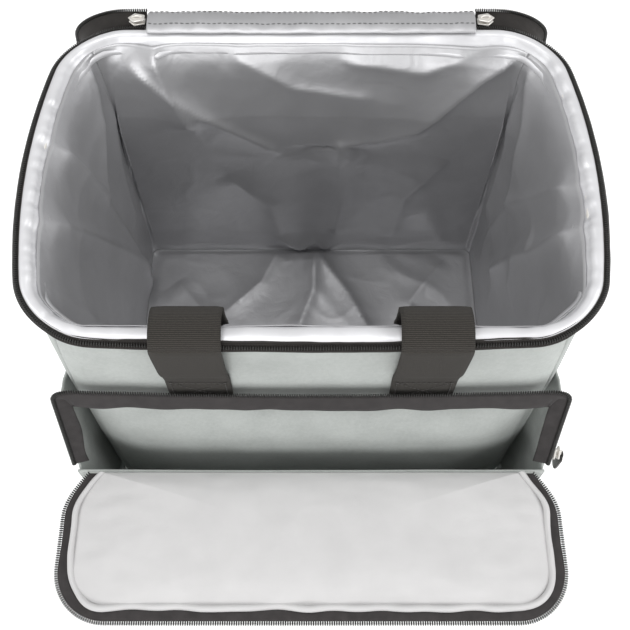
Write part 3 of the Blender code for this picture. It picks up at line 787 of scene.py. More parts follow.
def crease_rise(name, along, z):
    """How far the named creases lift the film here."""
    total = 0
    for points, rise, wide, steep in CREASES[name]:
        nearest, signed, share = 1, 1, 0
        for i, ((ax, az), (bx, bz)) in enumerate(zip(points, points[1:])):
            dx, dz = bx - ax, bz - az
            t = max(0, min(1, ((along - ax) * dx + (z - az) * dz) / (dx * dx + dz * dz)))
            gap = math.hypot(along - ax - t * dx, z - az - t * dz)
            if gap < nearest:
                nearest, share = gap, (i + t) / (len(points) - 1)
                signed = (along - ax) * dz - (z - az) * dx
        reach = (wide if signed > 0 else steep) * MM
        if nearest > 4 * reach:
            continue
        ends = min(1, 0.25 + 1.8 * math.sin(math.pi * share) ** 0.7)
        total += rise * 1.15 * MM * ends * math.exp(-((nearest / reach) ** 1.05))
    return total


def crinkle(point, size, seed):
    """Sharp, branching ridges from 0 to 1, like crumpled film."""
    ridge = max(0, 1 - 2.6 * abs(ripple(point, size, seed)))
    return ridge * ridge


def film_rise(name, point, along, z):
    """How far the film stands off its board: named creases, crumple and soft swells."""
    lift = crease_rise(name, along, z)
    lift += 0.9 * MM * crinkle(point, 90 * MM, 2) + 0.25 * MM * crinkle(point, 34 * MM, 7)
    return lift + 1.2 * MM * (1 + ripple(point, 80 * MM, 4)) * 0.5


def liner_inset(side, station, z):
    """The film starts close under the lip and leans in until it lies on the foam."""
    s = sizes()
    point = around(station, s.wall, z)
    along = point.x if side % 2 == 0 else point.y
    lift = film_rise(SIDES[side % 4], point, along, z)
    edge = 0.5 - abs(station - side)
    corner = min(1, edge / 0.07)
    corner = corner * corner * (3 - 2 * corner)
    fold = (round(station + 0.5) % 4, 0, z)
    below = max(0, s.height - z)
    lean = min(1, below / (26 * MM))
    lean = lean * (2 - lean)
    start = lip_edge(station) + 0.8 * MM
    slack = min(1, below / (55 * MM)) * max(0, 1 - max(0, below - 55 * MM) / (150 * MM))
    slack *= (4 + ((3, 4, 8, 4)[side % 4] - 4) * corner) * MM
    foot = min(1, (z - s.floor + 1 * MM) / (9 * MM))
    gather = (2.2 + 4 * ripple(fold, 45 * MM, 13)) * MM
    lift = lift * corner + gather * (1 - corner)
    shaped = lift * (0.45 + 0.55 * min(1, below / (12 * MM))) * (0.25 + 0.75 * foot)
    return start + (s.wall - start) * lean + shaped + slack


def lip_edge(station):
    """Where the lip turns down: wide along the front, narrow elsewhere."""
    blend = 0.5 + 0.5 * math.cos(math.pi * min(1, abs(((station + 2) % 4) - 2) / 0.62))
    return (2.6 + 3.4 * blend) * MM


def board(name, outer, inner, material):
    """A closed board between two grids of points."""
    outer, inner = np.array(outer), np.array(inner)
    count, width = outer.shape[:2]
    size = count * width
    faces = []
    for i in range(count - 1):
        for j in range(width - 1):
            one = (i * width + j, i * width + j + 1, (i + 1) * width + j + 1, (i + 1) * width + j)
            faces.append(one)
            faces.append(tuple(size + v for v in one[::-1]))
    ring = [j for j in range(width)] + [(i + 1) * width - 1 for i in range(1, count)]
    ring += [(count - 1) * width + j for j in range(width - 2, -1, -1)]
    ring += [i * width for i in range(count - 2, 0, -1)]
    for a, b in zip(ring, ring[1:] + ring[:1]):
        faces.append((b, a, size + a, size + b))
    mesh = bpy.data.meshes.new(name)
    mesh.from_pydata(np.concatenate([outer.reshape(-1, 3), inner.reshape(-1, 3)]).tolist(), [], faces)
    face_out(mesh)
    return link_piece(name, mesh, material, smooth=False)


class COOLER_OT_liner(bpy.types.Operator):
    """Hang the silver film inside, creased from folding"""

    bl_idname = "cooler.liner"
    bl_label = "Liner"

    def execute(self, context):
        s = sizes()
        low, high = s.floor - 0.6 * MM, s.height - 2.3 * MM
        spans = (s.width - 2 * s.wall, s.depth - 2 * s.wall)
        for side, name in enumerate(SIDES):
            columns = 150 if side % 2 == 0 else 110
            rows = wall_rows(side, columns, 120, low, high, liner_inset)
            piece = cloth(f"{name}_liner", rows, "Silver PEVA film", 0.6 * MM, flip=True)
            settle(piece, "bag", "liner", f"liner_{name}")
            declare_sheet(spans[side % 2] * 1.06, (high - low) * 1.03)

        def floor_point(station, reach):
            edge = around(station, s.wall - 0.5 * MM, s.floor)
            x, y = edge.x * reach, edge.y * reach
            lift = film_rise("floor", (x, y, 0), x, y)
            held = min(1, (1 - reach) / 0.06)
            bead = 0.7 * MM * math.exp(-(((1 - reach) / 0.015) ** 2))
            return Vector((x, y, s.floor - 0.1 * MM + lift * (0.1 + 0.9 * held) + bead))

        floor = cloth("floor_liner", filled(70, floor_point), "Silver PEVA film", 0.6 * MM)
        settle(floor, "bag", "liner", "liner_floor")
        declare_sheet(spans[0] * 1.02, spans[1] * 1.02)
        return {"FINISHED"}


# ---- rim ---------------------------------------------------------------------------------------

LIP_PROFILE = mm((-3.0, -0.3), (-2.2, 0.35), (-0.9, 0.75), (0.8, 0.9), (2.4, 0.85), (4.0, 0.55))
LIP_PROFILE += mm((5.2, -0.1), (6.0, -1.2), (6.6, -2.6), (7.0, -4.2), (7.2, -6.0), (7.2, -8.0))
TAPE_PROFILE = mm((-0.6, 1.0), (-1.8, 0.95), (-3.0, 0.55), (-4.0, -0.1), (-5.2, -0.9), (-6.4, -1.1))
TAPE_PROFILE += mm((-7.0, -1.5), (-6.2, -2.0), (-4.4, -2.3), (-2.6, -3.2), (-1.5, -4.6), (-1.2, -8.2))


def side_share(station):
    """0 at the middle of the front and back, 1 at the middle of each side."""
    return 0.5 - 0.5 * math.cos(math.pi * station)


def rim_wrinkle(station, inset):
    """Small cross folds in the rim's lip, deeper at the ends of the bag."""
    run = station * 0.24
    soft = ripple((run, inset * 0.25, 1), 16 * MM, 1)
    tight = ripple((run, inset * 0.2, 2), 6 * MM, 9)
    amount = (0.5 + 1.3 * side_share(station)) * MM
    inner = min(1, max(0, inset / (4 * MM)))
    return amount * (soft * 0.9 + tight * 0.35) * (0.25 + inner)


def lip_point(station, inset, lift):
    """A point on the rolled lip: over the rim, then down onto the liner."""
    top = sizes().height
    crumple = rim_wrinkle(station, inset)
    fall = min(1, max(0, (-1 * MM - lift) / (6 * MM)))
    reach = (inset + 3 * MM) / (9 * MM) * (lip_edge(station) + 3 * MM) - 3 * MM
    film = liner_inset(round(station), station, top + lift) - 0.5 * MM
    point = around(station, (reach + crumple * 0.5) * (1 - fall) + film * fall, top)
    return point + Vector((0, 0, lift + crumple * (1 - 0.7 * fall)))


class COOLER_OT_rim(bpy.types.Operator):
    """Finish the rim: rolled lip, stitching, zip tape and the body half of the main zip"""

    bl_idname = "cooler.rim"
    bl_label = "Rim and main zip"

    def execute(self, context):
        s = sizes()
        top = s.height
        rows = []
        count = 720
        for i in range(count):
            station = -0.5 + 4 * i / count
            rows.append([lip_point(station, inset, lift) for inset, lift in LIP_PROFILE])
        # The lip's film is painted lighter than the liner's, a painted highlight.
        lip = cloth("rim_film", rows, "Silver PEVA edging", 0.6 * MM, closed=True)
        settle(lip, "bag", "liner", "rim_lip")
        ring = 2 * (s.width + s.depth)
        declare_sheet(ring, 20 * MM)
        path = []
        for i in range(721):
            station = -0.5 + 4 * i / 721
            point = lip_point(station, 0.8 * MM, 1.25 * MM)
            path.append((point, outward(station, top), Vector((0, 0, 1))))
        row = stitches("rim_stitching", path, "Grey thread", closed=True, size=0.4 * MM)
        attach(row, "bag")
        start, end = zip_ends()
        rows = []
        for i in range(521):
            station = start + (end - start) * i / 520
            row = []
            for k, (inset, lift) in enumerate(TAPE_PROFILE):
                narrow = 1.6 * MM * (1 - side_share(station)) if k < 2 else 0
                wave = 0.25 * MM * ripple((station * 0.24, k * 0.001, 0), 14 * MM, 6)
                point = around(station, inset - narrow + wave, top)
                row.append(point + Vector((0, 0, lift + wave)))
            rows.append(row)
        tape = cloth("rim_tape", rows, "Rim zip tape", 0.6 * MM)
        settle(tape, "bag", "tape", "rim_zip_tape")
        run = ring - s.strip_width
        declare_sheet(run, 17 * MM)
        path = rim_path(-5.1 * MM, top, start, end, 520, 0.15, 0.25 * MM)
        settle(coil_teeth("rim_coil", path), "bag", "coil", "rim_zip_coil")
        return {"FINISHED"}


# ---- lid ---------------------------------------------------------------------------------------


def lid_place():
    """From flat, with its liner's underside at height 0, to where the open lid hangs."""
    joint = JOINTS["lid_hinge"]
    s = sizes()
    axis = Vector(joint["pos_m"])
    turn = math.radians(joint["range_deg"][1])
    rear = Vector((0, s.depth / 2, s.height + 5.3 * MM))
    tilt = Matrix.Rotation(-math.radians(2.7), 4, "X") @ Matrix.Translation((0, -s.depth / 2, 0))
    opened = Matrix.Translation(axis) @ Matrix.Rotation(-turn, 4, "X")
    return opened @ Matrix.Translation(rear - axis) @ tilt


def flat_edge(station, inset):
    """The rim's outline, laid at height 0."""
    point = around(station, inset, sizes().height)
    return Vector((point.x, point.y, 0))


class COOLER_OT_lid(bpy.types.Operator):
    """Make the lid shut and flat, then hang it open behind the bag"""

    bl_idname = "cooler.lid"
    bl_label = "Lid"

    def execute(self, context):
        s = sizes()
        place = lid_place()
        crown, edge_share = 8.9 * MM, 0.93
        wrap = mm((1.2, 8.7), (0.4, 8.2), (0.0, 7.0), (0.0, 4.5), (0.2, 2.4), (0.8, 1.2))

        def top_point(station, reach):
            if reach <= edge_share:
                inner = reach / edge_share
                point = flat_edge(station, wrap[0][0]) * inner
                dome = 3.2 * MM * (1 - inner**2)
                fold = 0.8 * MM * ripple(point, 60 * MM, 21) * (1 - inner**6)
                return point + Vector((0, 0, crown + dome + fold))
            at = (reach - edge_share) / (1 - edge_share) * (len(wrap) - 1)
            i = min(int(at), len(wrap) - 2)
            inset = wrap[i][0] + (wrap[i + 1][0] - wrap[i][0]) * (at - i)
            z = wrap[i][1] + (wrap[i + 1][1] - wrap[i][1]) * (at - i)
            return flat_edge(station, inset) + Vector((0, 0, z))

        def film_point(station, reach):
            point = flat_edge(station, 1.2 * MM) * reach
            held = min(1, (1 - reach) / 0.08)
            hollow = film_rise("floor", point, point.x, point.y) * 0.6 * held
            return point + Vector((0, 0, 0.7 * MM - hollow))

        made = []
        panel = cloth("lid_fabric", filled(52, top_point), "Heather polyester", 1.2 * MM)
        made.append((panel, "fabric", "lid_panel"))
        film = cloth("lid_film", filled(52, film_point), "Silver PEVA film", 0.6 * MM, flip=True)
        made.append((film, "liner", "lid_liner"))
        start, end = zip_ends()
        profile = mm((-0.3, 7.4), (-0.9, 5.6), (-1.1, 2.6), (-1.9, 0.4), (-3.3, -0.9), (-4.1, -1.3))
        rows = []
        for i in range(521):
            station = start + (end - start) * i / 520
            wave = 0.2 * MM * ripple((station * 0.24, 0, 0), 14 * MM, 16)
            row = [flat_edge(station, inset + wave) + Vector((0, 0, lift)) for inset, lift in profile]
            rows.append(row)
        tape = cloth("lid_tape", rows, "Rim zip tape", 0.6 * MM, flip=True)
        made.append((tape, "tape", "lid_zip_tape"))
        path = []
        for point, out, up in rim_path(-5.0 * MM, s.height, start, end, 520):
            path.append((Vector((point.x, point.y, -1.6 * MM)), out, up))
        made.append((coil_teeth("lid_coil", path), "coil", "lid_zip_coil"))
        path = []
        up = Vector((0, 0, 1))
        for k in range(400):
            station = k / 100
            path.append((flat_edge(station, 0.5 * MM) + 8.2 * MM * up, outward(station, s.height), up))
        turns = np.linspace(0, 2 * math.pi, 9)[:-1]
        section = [(1.2 * MM * math.cos(a), 1.2 * MM * math.sin(a)) for a in turns]
        made.append((tube("lid_piping", path, section, "Heather polyester", closed=True), "fabric", None))
        for piece, slot, node in made:
            piece.data.transform(place)
            if node:
                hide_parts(node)
            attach(piece, "lid")
        wide, deep = s.width + 2 * s.side_bow, s.depth + s.front_bow
        declare_sheet(wide + 14 * MM, deep + 14 * MM)
        declare_sheet(wide, deep)
        declare_sheet(2 * (s.width + s.depth) - s.strip_width, 11.5 * MM)
        return {"FINISHED"}


class COOLER_OT_hinge_strip(bpy.types.Operator):
    """Join the lid to the back of the rim with a strip of film"""

    bl_idname = "cooler.hinge_strip"
    bl_label = "Hinge strip"

    def execute(self, context):
        s = sizes()
        low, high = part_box("lid_hinge_strip")
        profile = [(low.y - 3.2 * MM, high.z - 2.6 * MM), (low.y - 0.8 * MM, high.z - 1.4 * MM)]
        profile += [(low.y + 3 * MM, high.z - 0.6 * MM), (low.y + 6.5 * MM, high.z - 0.1 * MM)]
        profile += [(low.y + 10 * MM, high.z - 0.4 * MM), (low.y + 13.5 * MM, high.z - 1.6 * MM)]
        profile += [(low.y + 16.5 * MM, high.z - 3.8 * MM), (low.y + 18.6 * MM, high.z - 7 * MM)]
        rows = []
        count = 150
        for i in range(count + 1):
            x = -s.strip_width / 2 + s.strip_width * i / count
            row = []
            for k, (y, z) in enumerate(profile):
                middle = math.sin(math.pi * k / (len(profile) - 1))
                soft = 0.8 * MM * ripple((x, y * 0.6, 0), 22 * MM, 31)
                soft += 0.5 * MM * ripple((x, y, 0), 8 * MM, 37)
                row.append(Vector((x, y + soft * 0.4, z + soft * (0.3 + middle))))
            rows.append(row)
        strip = cloth("hinge_film", rows, "Silver PEVA film", 0.7 * MM, flip=True, subdivide=1)
        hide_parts("lid_hinge_strip")
        # where the strip leaves the rim, and where it reaches the lid
        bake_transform(strip)
        declare_sheet(s.strip_width, 27 * MM)
        for name, at, thread in (("near", 2, "Grey thread"), ("far", 5, "Dark thread")):
            path = []
            for i in range(201):
                x = -s.strip_width / 2 + 2 * MM + (s.strip_width - 4 * MM) * i / 200
                row = rows[round((x + s.strip_width / 2) / s.strip_width * count)]
                point = Vector((x, row[at].y, row[at].z + 0.25 * MM))
                path.append((point, Vector((0, 1, 0)), Vector((0, 0, 1))))
            seam = stitches(f"hinge_stitching_{name}", path, thread, size=0.6 * MM)
            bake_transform(seam)
        return {"FINISHED"}


# ---- webbing -----------------------------------------------------------------------------------


def drape_centre():
    return Vector(JOINTS["front_handle_swing"]["pos_m"])


def fold_centre():
    return Vector(JOINTS["rear_handle_swing"]["pos_m"])


DRAPE_RADIUS = 12.5 * MM
DRAPE_RISE = 8.5 * MM
DRAPE_LENGTH = 92 * MM
FOLD_RADIUS = 3.6 * MM
FOLD_LENGTH = 15.5 * MM
THICK = 2.2 * MM
HANDLE_LEG = 85 * MM
ANCHOR_TOP = 192 * MM
ANCHOR_BOTTOM = 165.5 * MM


def spacing():
    """From the middle of the bag to the middle of each strap."""
    low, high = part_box("front_strap_anchor_right")
    return (low.x + high.x) / 2


def smooth_path(points, step=2 * MM):
    """Points a fixed step apart on a curve through the given ones."""
    points = [Vector(p) for p in points]
    fine = []
    for i in range(len(points) - 1):
        before = points[max(i - 1, 0)]
        after = points[min(i + 2, len(points) - 1)]
        a, b = points[i], points[i + 1]
        steps = max(2, round((b - a).length / step))
        for k in range(steps):
            t = k / steps
            leave, arrive = (b - before) / 2, (after - a) / 2
            held = a * (2 * t**3 - 3 * t**2 + 1) + b * (3 * t**2 - 2 * t**3)
            fine.append(held + leave * (t**3 - 2 * t**2 + t) + arrive * (t**3 - t**2))
    return fine + [points[-1]]


def strap(name, rows, start=0.0):
    """Webbing through rows of (centre, half-width vector, thickness direction)."""
    across = 14
    lines = []
    for centre, wide, face in rows:
        line = []
        for j in range(across + 1):
            t = 2 * j / across - 1
            bow = THICK * (0.5 - 0.22 * t**8)
            line.append(centre + wide * t + face * bow)
        lines.append(line)
    piece = cloth(name, lines, "Ribbed webbing", THICK * 0.85)
    for datum in piece.data.uv_layers[0].data:
        datum.uv[1] += start
    face_out(piece.data)
    return piece


def edge_on(path, x, width):
    """Rows for a strap that keeps its width along X and bends in the YZ plane."""
    rows = []
    for i, point in enumerate(path):
        before, after = path[max(i - 1, 0)], path[min(i + 1, len(path) - 1)]
        along = (after - before).normalized()
        face = Vector((0, -along.z, along.y))
        rows.append((Vector((x, point.y, point.z)), Vector((width / 2, 0, 0)), face))
    return rows


def anchor_stitching(name, x, y, low, high, outward_y):
    """A box with a cross inside, sewn through the end of a strap."""
    s = sizes()
    half = s.webbing / 2 - 3 * MM
    corners = [(-half, low), (half, low), (half, high), (-half, high)]
    runs = list(zip(corners, corners[1:] + corners[:1]))
    runs += [(corners[0], corners[2]), (corners[1], corners[3])]
    places = []
    for (ax, az), (bx, bz) in runs:
        path = []
        for k in range(9):
            point = Vector((x + ax + (bx - ax) * k / 8, y, az + (bz - az) * k / 8))
            path.append((point, Vector((0, outward_y, 0)), Vector((0, 0, 1))))
        places += even_steps(path, s.stitch * 1.15)
    bead = unit_bead(name + "-stitch", (s.stitch, 0.7 * MM, 0.6 * MM), 6, 5)
    thread = repeat(name, bead, places, "Dark thread")
    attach(thread, "bag")


class COOLER_OT_straps(bpy.types.Operator):
    """Sew the four strap ends to the bag and bend the straps over to the handles"""

    bl_idname = "cooler.straps"
    bl_label = "Strap ends"

    def execute(self, context):
        s = sizes()
        over, fold = drape_centre(), fold_centre()
        for side, x in (("left", -spacing()), ("right", spacing())):
            low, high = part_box(f"front_strap_anchor_{side}")
            out = (low.y + high.y) / 2
            path = smooth_path([(0, out, ANCHOR_BOTTOM), (0, out, ANCHOR_TOP + 0.4 * MM)])
            anchor = strap(f"front_strap_end_{side}", edge_on(path, x, s.webbing))
            settle(anchor, "bag", "webbing", f"front_strap_anchor_{side}")
            declare_sheet(s.webbing, ANCHOR_TOP - ANCHOR_BOTTOM)
            face = out - THICK * 0.55
            ends = (ANCHOR_BOTTOM + 3 * MM, ANCHOR_TOP - 2 * MM)
            anchor_stitching(f"front_stitching_{side}", x, face, *ends, -1)
            leg_y, rise = over.y - DRAPE_RADIUS, over.z - ANCHOR_TOP
            points = [(0, out, ANCHOR_TOP), (0, out - 1.5 * MM, ANCHOR_TOP + 0.15 * rise)]
            points.append((0, out - 4.5 * MM, ANCHOR_TOP + 0.35 * rise))
            points.append((0, leg_y + 1.5 * MM, ANCHOR_TOP + 0.65 * rise))
            for i in range(9):
                turn = math.pi * i / 8
                y = over.y - DRAPE_RADIUS * math.cos(turn)
                points.append((0, y, over.z + DRAPE_RISE * math.sin(turn)))
            rows = edge_on(smooth_path(points), x, s.webbing)
            bend = strap(f"front_strap_fold_{side}", rows, ANCHOR_TOP - ANCHOR_BOTTOM)
            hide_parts(f"front_strap_bend_{side}")
            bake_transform(bend)
            declare_sheet(s.webbing, DRAPE_LENGTH)
            low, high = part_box(f"rear_strap_anchor_{side}")
            out = (low.y + high.y) / 2
            path = smooth_path([(0, out, ANCHOR_BOTTOM), (0, out, fold.z - 3.8 * MM)])
            anchor = strap(f"rear_strap_end_{side}", edge_on(path, x, s.webbing))
            settle(anchor, "bag", "webbing", f"rear_strap_anchor_{side}")
            declare_sheet(s.webbing, fold.z - 4 * MM - ANCHOR_BOTTOM)
            face = out + THICK * 0.55
            ends = (ANCHOR_BOTTOM + 3 * MM, fold.z - 9 * MM)
            anchor_stitching(f"rear_stitching_{side}", x, face, *ends, 1)
            points = [(0, out, fold.z - 4 * MM)]
            for i in range(9):
                turn = math.pi * i / 8
                y = fold.y - FOLD_RADIUS * math.cos(turn)
                points.append((0, y, fold.z + FOLD_RADIUS * math.sin(turn)))
            rows = edge_on(smooth_path(points, 0.8 * MM), x, s.webbing)
            bend = strap(f"rear_strap_fold_{side}", rows, 36.5 * MM)
            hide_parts(f"rear_strap_bend_{side}")
            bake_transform(bend)
            declare_sheet(s.webbing, FOLD_LENGTH)
        return {"FINISHED"}


def handle_rows(leg_y, top, twist, room):
    """A hanging loop: two legs joined by a half turn, the webbing twisting on the way down."""
    s = sizes()
    apart = spacing()
    flat = []
    for i in range(24):
        flat.append((-apart, -HANDLE_LEG * i / 24, 1, 0))
    for i in range(49):
        turn = math.pi * i / 48
        across, down = math.cos(turn), math.sin(turn)
        flat.append((-apart * across, -HANDLE_LEG - apart * down, across, down))
    for i in range(24, 0, -1):
        flat.append((apart, -HANDLE_LEG * (i - 1) / 24, -1, 0))
    rows = []
    for i, (x, z, across, down) in enumerate(flat):
        share = min(1, min(i, len(flat) - 1 - i) / 32)
        ease = share * share * (3 - 2 * share)
        angle = twist * ease
        inward = Vector((across, 0, down))
        wide = inward * math.cos(angle) + Vector((0, math.sin(angle), 0))
        face = Vector((0, math.cos(angle), 0)) - inward * math.sin(angle)
        away = (s.webbing / 2 - room) * math.sin(angle)
        centre = Vector((x, leg_y + max(0, away), top + z))
        rows.append((centre, wide * s.webbing / 2, face))
    return rows


class COOLER_OT_handles(bpy.types.Operator):
    """Hang the front handle inside the bag and the rear handle behind it"""

    bl_idname = "cooler.handles"
    bl_label = "Handles"

    def execute(self, context):
        s = sizes()
        over, fold = drape_centre(), fold_centre()
        leg_y = over.y + DRAPE_RADIUS
        room = leg_y - (-s.depth / 2 + s.wall) - 0.9 * MM
        rows = handle_rows(leg_y, over.z, math.radians(85), room)
        front = strap("front_handle_webbing", rows, 120 * MM)
        settle(front, "front_handle", "webbing", "front_handle_loop")
        leg_y = fold.y + FOLD_RADIUS
        room = leg_y - (s.depth / 2 + 2.5 * MM) - 1.7 * MM
        rows = handle_rows(leg_y, fold.z, math.radians(60), room)
        rear = strap("rear_handle_webbing", rows, 120 * MM)
        settle(rear, "rear_handle", "webbing", "rear_handle_loop")
        loop = 2 * HANDLE_LEG + math.pi * spacing()
        declare_sheet(s.webbing, loop)
        declare_sheet(s.webbing, loop)
        return {"FINISHED"}


# ---- front pocket ------------------------------------------------------------------------------


POUCH_FOOT = 4 * MM
POUCH_MOUTH = 107.8 * MM
GUSSET_AREA = 0.0052
ZIP_LOW_END = 111.5 * MM
ZIP_CORNER = 170 * MM
ZIP_HEIGHT = 179 * MM


def pocket_half():
    """Half the pocket's width."""
    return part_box("pocket_front")[1].x


def pocket_face():
    """Where the pocket's front face stands."""
    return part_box("pocket_front")[0].y


def zip_bottom():
    """The low end of the pocket zip, on the right."""
    return Vector((pocket_half() + 1.6 * MM, pocket_face() + 3.5 * MM, ZIP_LOW_END))


def zip_top():
    """Where the pocket zip turns down the right side."""
    return Vector((pocket_half() + 2.2 * MM, -sizes().depth / 2 - 8.5 * MM, ZIP_CORNER))


def pocket_zip_rows():
    """The pocket's zip line as (point, across, face), from the left end over the top to the right."""
    half = pocket_half() - 10 * MM
    points = []
    for i in range(8):
        x = half * i / 7
        points.append(Vector((x, bowed(x, -sizes().depth / 2, ZIP_HEIGHT)[1] - 6.1 * MM, ZIP_HEIGHT)))
    top, bottom = zip_top(), zip_bottom()
    start = points[-1]
    bend = Vector((top.x, start.y, start.z))
    for i in range(1, 5):
        t = i / 5
        points.append(start * (1 - t) ** 2 + bend * 2 * t * (1 - t) + top * t**2)
    points += [top.lerp(bottom, i / 4) for i in range(5)]
    line = [Vector((-p.x, p.y, p.z)) for p in points[:0:-1]] + points
    line = smooth_path(line, 1.5 * MM)
    rows = []
    for i, point in enumerate(line):
        along = (line[min(i + 1, len(line) - 1)] - line[max(i - 1, 0)]).normalized()
        share = min(1, max(0, (ZIP_HEIGHT - point.z) / (ZIP_HEIGHT - top.z)))
        sign = math.copysign(1, point.x)
        down, inward = Vector((0, -2.6, -8)), Vector((-sign * 6.6, 1.8, 0))
        back = (down.lerp(inward, share)) * MM
        back = (back - along * back.dot(along)).normalized()
        sway = 0.7 * MM * ripple(point, 30 * MM, 51)
        rows.append((point + Vector((0, -0.3 * MM, 1)) * sway, back, along.cross(back).normalized(), share))
    return rows


class COOLER_OT_pouch(bpy.types.Operator):
    """Sew the pocket's face, its two gussets and its bottom"""

    bl_idname = "cooler.pouch"
    bl_label = "Pocket pouch"

    def execute(self, context):
        s = sizes()
        half, front = pocket_half(), pocket_face()
        low, high = POUCH_FOOT, POUCH_MOUTH
        rows = []
        for k in range(49):
            z = low + (high - low) * k / 48
            row = []
            for i in range(111):
                x = -half + 2 * half * i / 110
                share = max(0, 1 - (x / half) ** 2) * math.sin(math.pi * min(1, k / 48 * 0.9 + 0.05))
                swell = 2.5 * MM * share + 0.7 * MM * ripple((x, 0, z), 40 * MM, 61) * share**0.3
                row.append(Vector((x, front - swell, z)))
            rows.append(row)
        face = cloth("pocket_face", rows, "Heather polyester", 1.4 * MM)
        settle(face, "bag", "fabric", "pocket_front")
        declare_sheet(2 * half, high - low)
        for side, sign in (("left", -1), ("right", 1)):
            rear = max(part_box(f"pocket_gusset_{side}")[1].y, s.base_radius + 2 * MM - s.depth / 2)
            top = zip_top().z - 3 * MM
            rows = []
            for k in range(61):
                z = low + (top - low) * k / 60
                rise = max(0, (z - (high - 8 * MM)) / (top - high + 8 * MM))
                edge = front + 0.6 * MM
                edge += (zip_top().y + 4.3 * MM - edge) * rise
                row = []
                for i in range(25):
                    t = i / 24
                    y = edge + (rear - edge) * t
                    bulge = 1.2 * MM * math.sin(math.pi * t) * (0.6 + ripple((0, y, z), 30 * MM, 71))
                    join = min(1, max(0, (t - 0.55) / 0.4))
                    against = bowed(s.width / 2, y, z)[0] + 0.2 * MM
                    x = (half - 0.2 * MM - bulge * 0.5) * (1 - join) + against * join
                    row.append(Vector((sign * x, y, z)))
                rows.append(row)
            name = f"pocket_gusset_cloth_{side}"
            gusset = cloth(name, rows, "Heather polyester", 1.2 * MM, flip=sign < 0)
            settle(gusset, "bag", "fabric", f"pocket_gusset_{side}")
            declare_sheet(41 * MM, top - low, area=GUSSET_AREA)
        low_box, high_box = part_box("pocket_bottom")
        radius = s.base_radius
        rows = []
        for k in range(15):
            t = k / 14
            row = []
            for i in range(161):
                x = (low_box.x + (high_box.x - low_box.x) * i / 160) * (1 - 0.012 * t)
                past = min(radius, max(0, abs(x) - s.width / 2 + radius))
                wall = radius - math.sqrt(radius**2 - past**2) - s.depth / 2 - 0.2 * MM
                y = low_box.y + (max(high_box.y, wall) - low_box.y) * t
                row.append(Vector((x, y, high_box.z - 0.3 * MM * (1 + ripple((x, y, 0), 20 * MM)))))
            rows.append(row)
        base = cloth("pocket_base", rows, "Heather polyester", 1.2 * MM)
        settle(base, "bag", "fabric", "pocket_bottom")
        declare_sheet(high_box.x - low_box.x, high_box.y - low_box.y)
        return {"FINISHED"}


class COOLER_OT_pocket_zip(bpy.types.Operator):
    """Run the body half of the pocket's zip across the front and down both sides"""

    bl_idname = "cooler.pocket_zip"
    bl_label = "Pocket zip"

    def execute(self, context):
        rows = pocket_zip_rows()
        sheet = []
        for point, back, face, share in rows:
            line = []
            for k in range(7):
                t = k / 6
                wave = (0.9 * MM * ripple(point + back * 0.01, 24 * MM, 81) + 0.3 * MM) * t * t
                stretch = (12.5 - 4.1 * share) * MM * t * (1 + 0.16 * ripple(point, 21 * MM, 83))
                line.append(point + back * (1.0 * MM + stretch) + face * wave)
            sheet.append(line)
        tape = cloth("pocket_tape", sheet, "Pocket zip tape", 0.6 * MM)
        settle(tape, "bag", "tape", "pocket_zip_tape")
        run = sum((b[0] - a[0]).length for a, b in zip(rows, rows[1:]))
        declare_sheet(run, 11 * MM)
        coil = coil_teeth("pocket_coil", [(point, back, face) for point, back, face, share in rows])
        settle(coil, "bag", "coil", "pocket_zip_coil")
        return {"FINISHED"}


def flap_edge(station, inset):
    """The flap's outline: square at the hinge, round at its two front corners."""
    low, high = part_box("flap_panel")
    side = round(station)
    t = (station - side) * 2
    half_w = high.x - inset
    near, far = JOINTS["flap_hinge"]["pos_m"][1] - 0.2 * MM, low.y + inset
    middle, half_d = (near + far) / 2, (near - far) / 2
    side %= 4
    half, reach = (half_w, half_d) if side % 2 == 0 else (half_d, half_w)
    at_front = side == 0 or (side == 1 and t < 0) or (side == 3 and t > 0)
    radius = max(0.5 * MM, 26 * MM - inset) if at_front else 0.5 * MM
    if abs(t) <= FLAT_SHARE:
        left = half - (26 * MM - inset if at_front else 0.5 * MM)
        along, out = t / FLAT_SHARE * left, reach
    else:
        turn = (abs(t) - FLAT_SHARE) / (1 - FLAT_SHARE) * math.pi / 4
        along = math.copysign(half - radius + radius * math.sin(turn), t)
        out = reach - radius + radius * math.cos(turn)
    x, y = ((along, -out), (out, along), (-along, out), (-out, -along))[side]
    y += middle
    back = min(1, max(0, (near - y) / (27 * MM)))
    return Vector((x * (1 - 0.085 * (1 - math.sin(back * math.pi / 2))), y, 0))


def flap_run(inset, count, level):
    """Rows of (point, out, up) along the flap's free edge, from hinge to hinge."""
    rows = []
    for i in range(count + 1):
        station = -1.55 + 3.1 * i / count
        station = max(-1.49, min(1.49, station))
        point = flap_edge(station, inset)
        inner = flap_edge(station, inset + 1 * MM)
        out = (point - inner).normalized() if (point - inner).length > 1e-6 else Vector((0, -1, 0))
        rows.append((point + Vector((0, 0, level)), out, Vector((0, 0, 1))))
    keep = [rows[0]]
    for row in rows[1:]:
        if (row[0] - keep[-1][0]).length > 0.2 * MM:
            keep.append(row)
    return keep


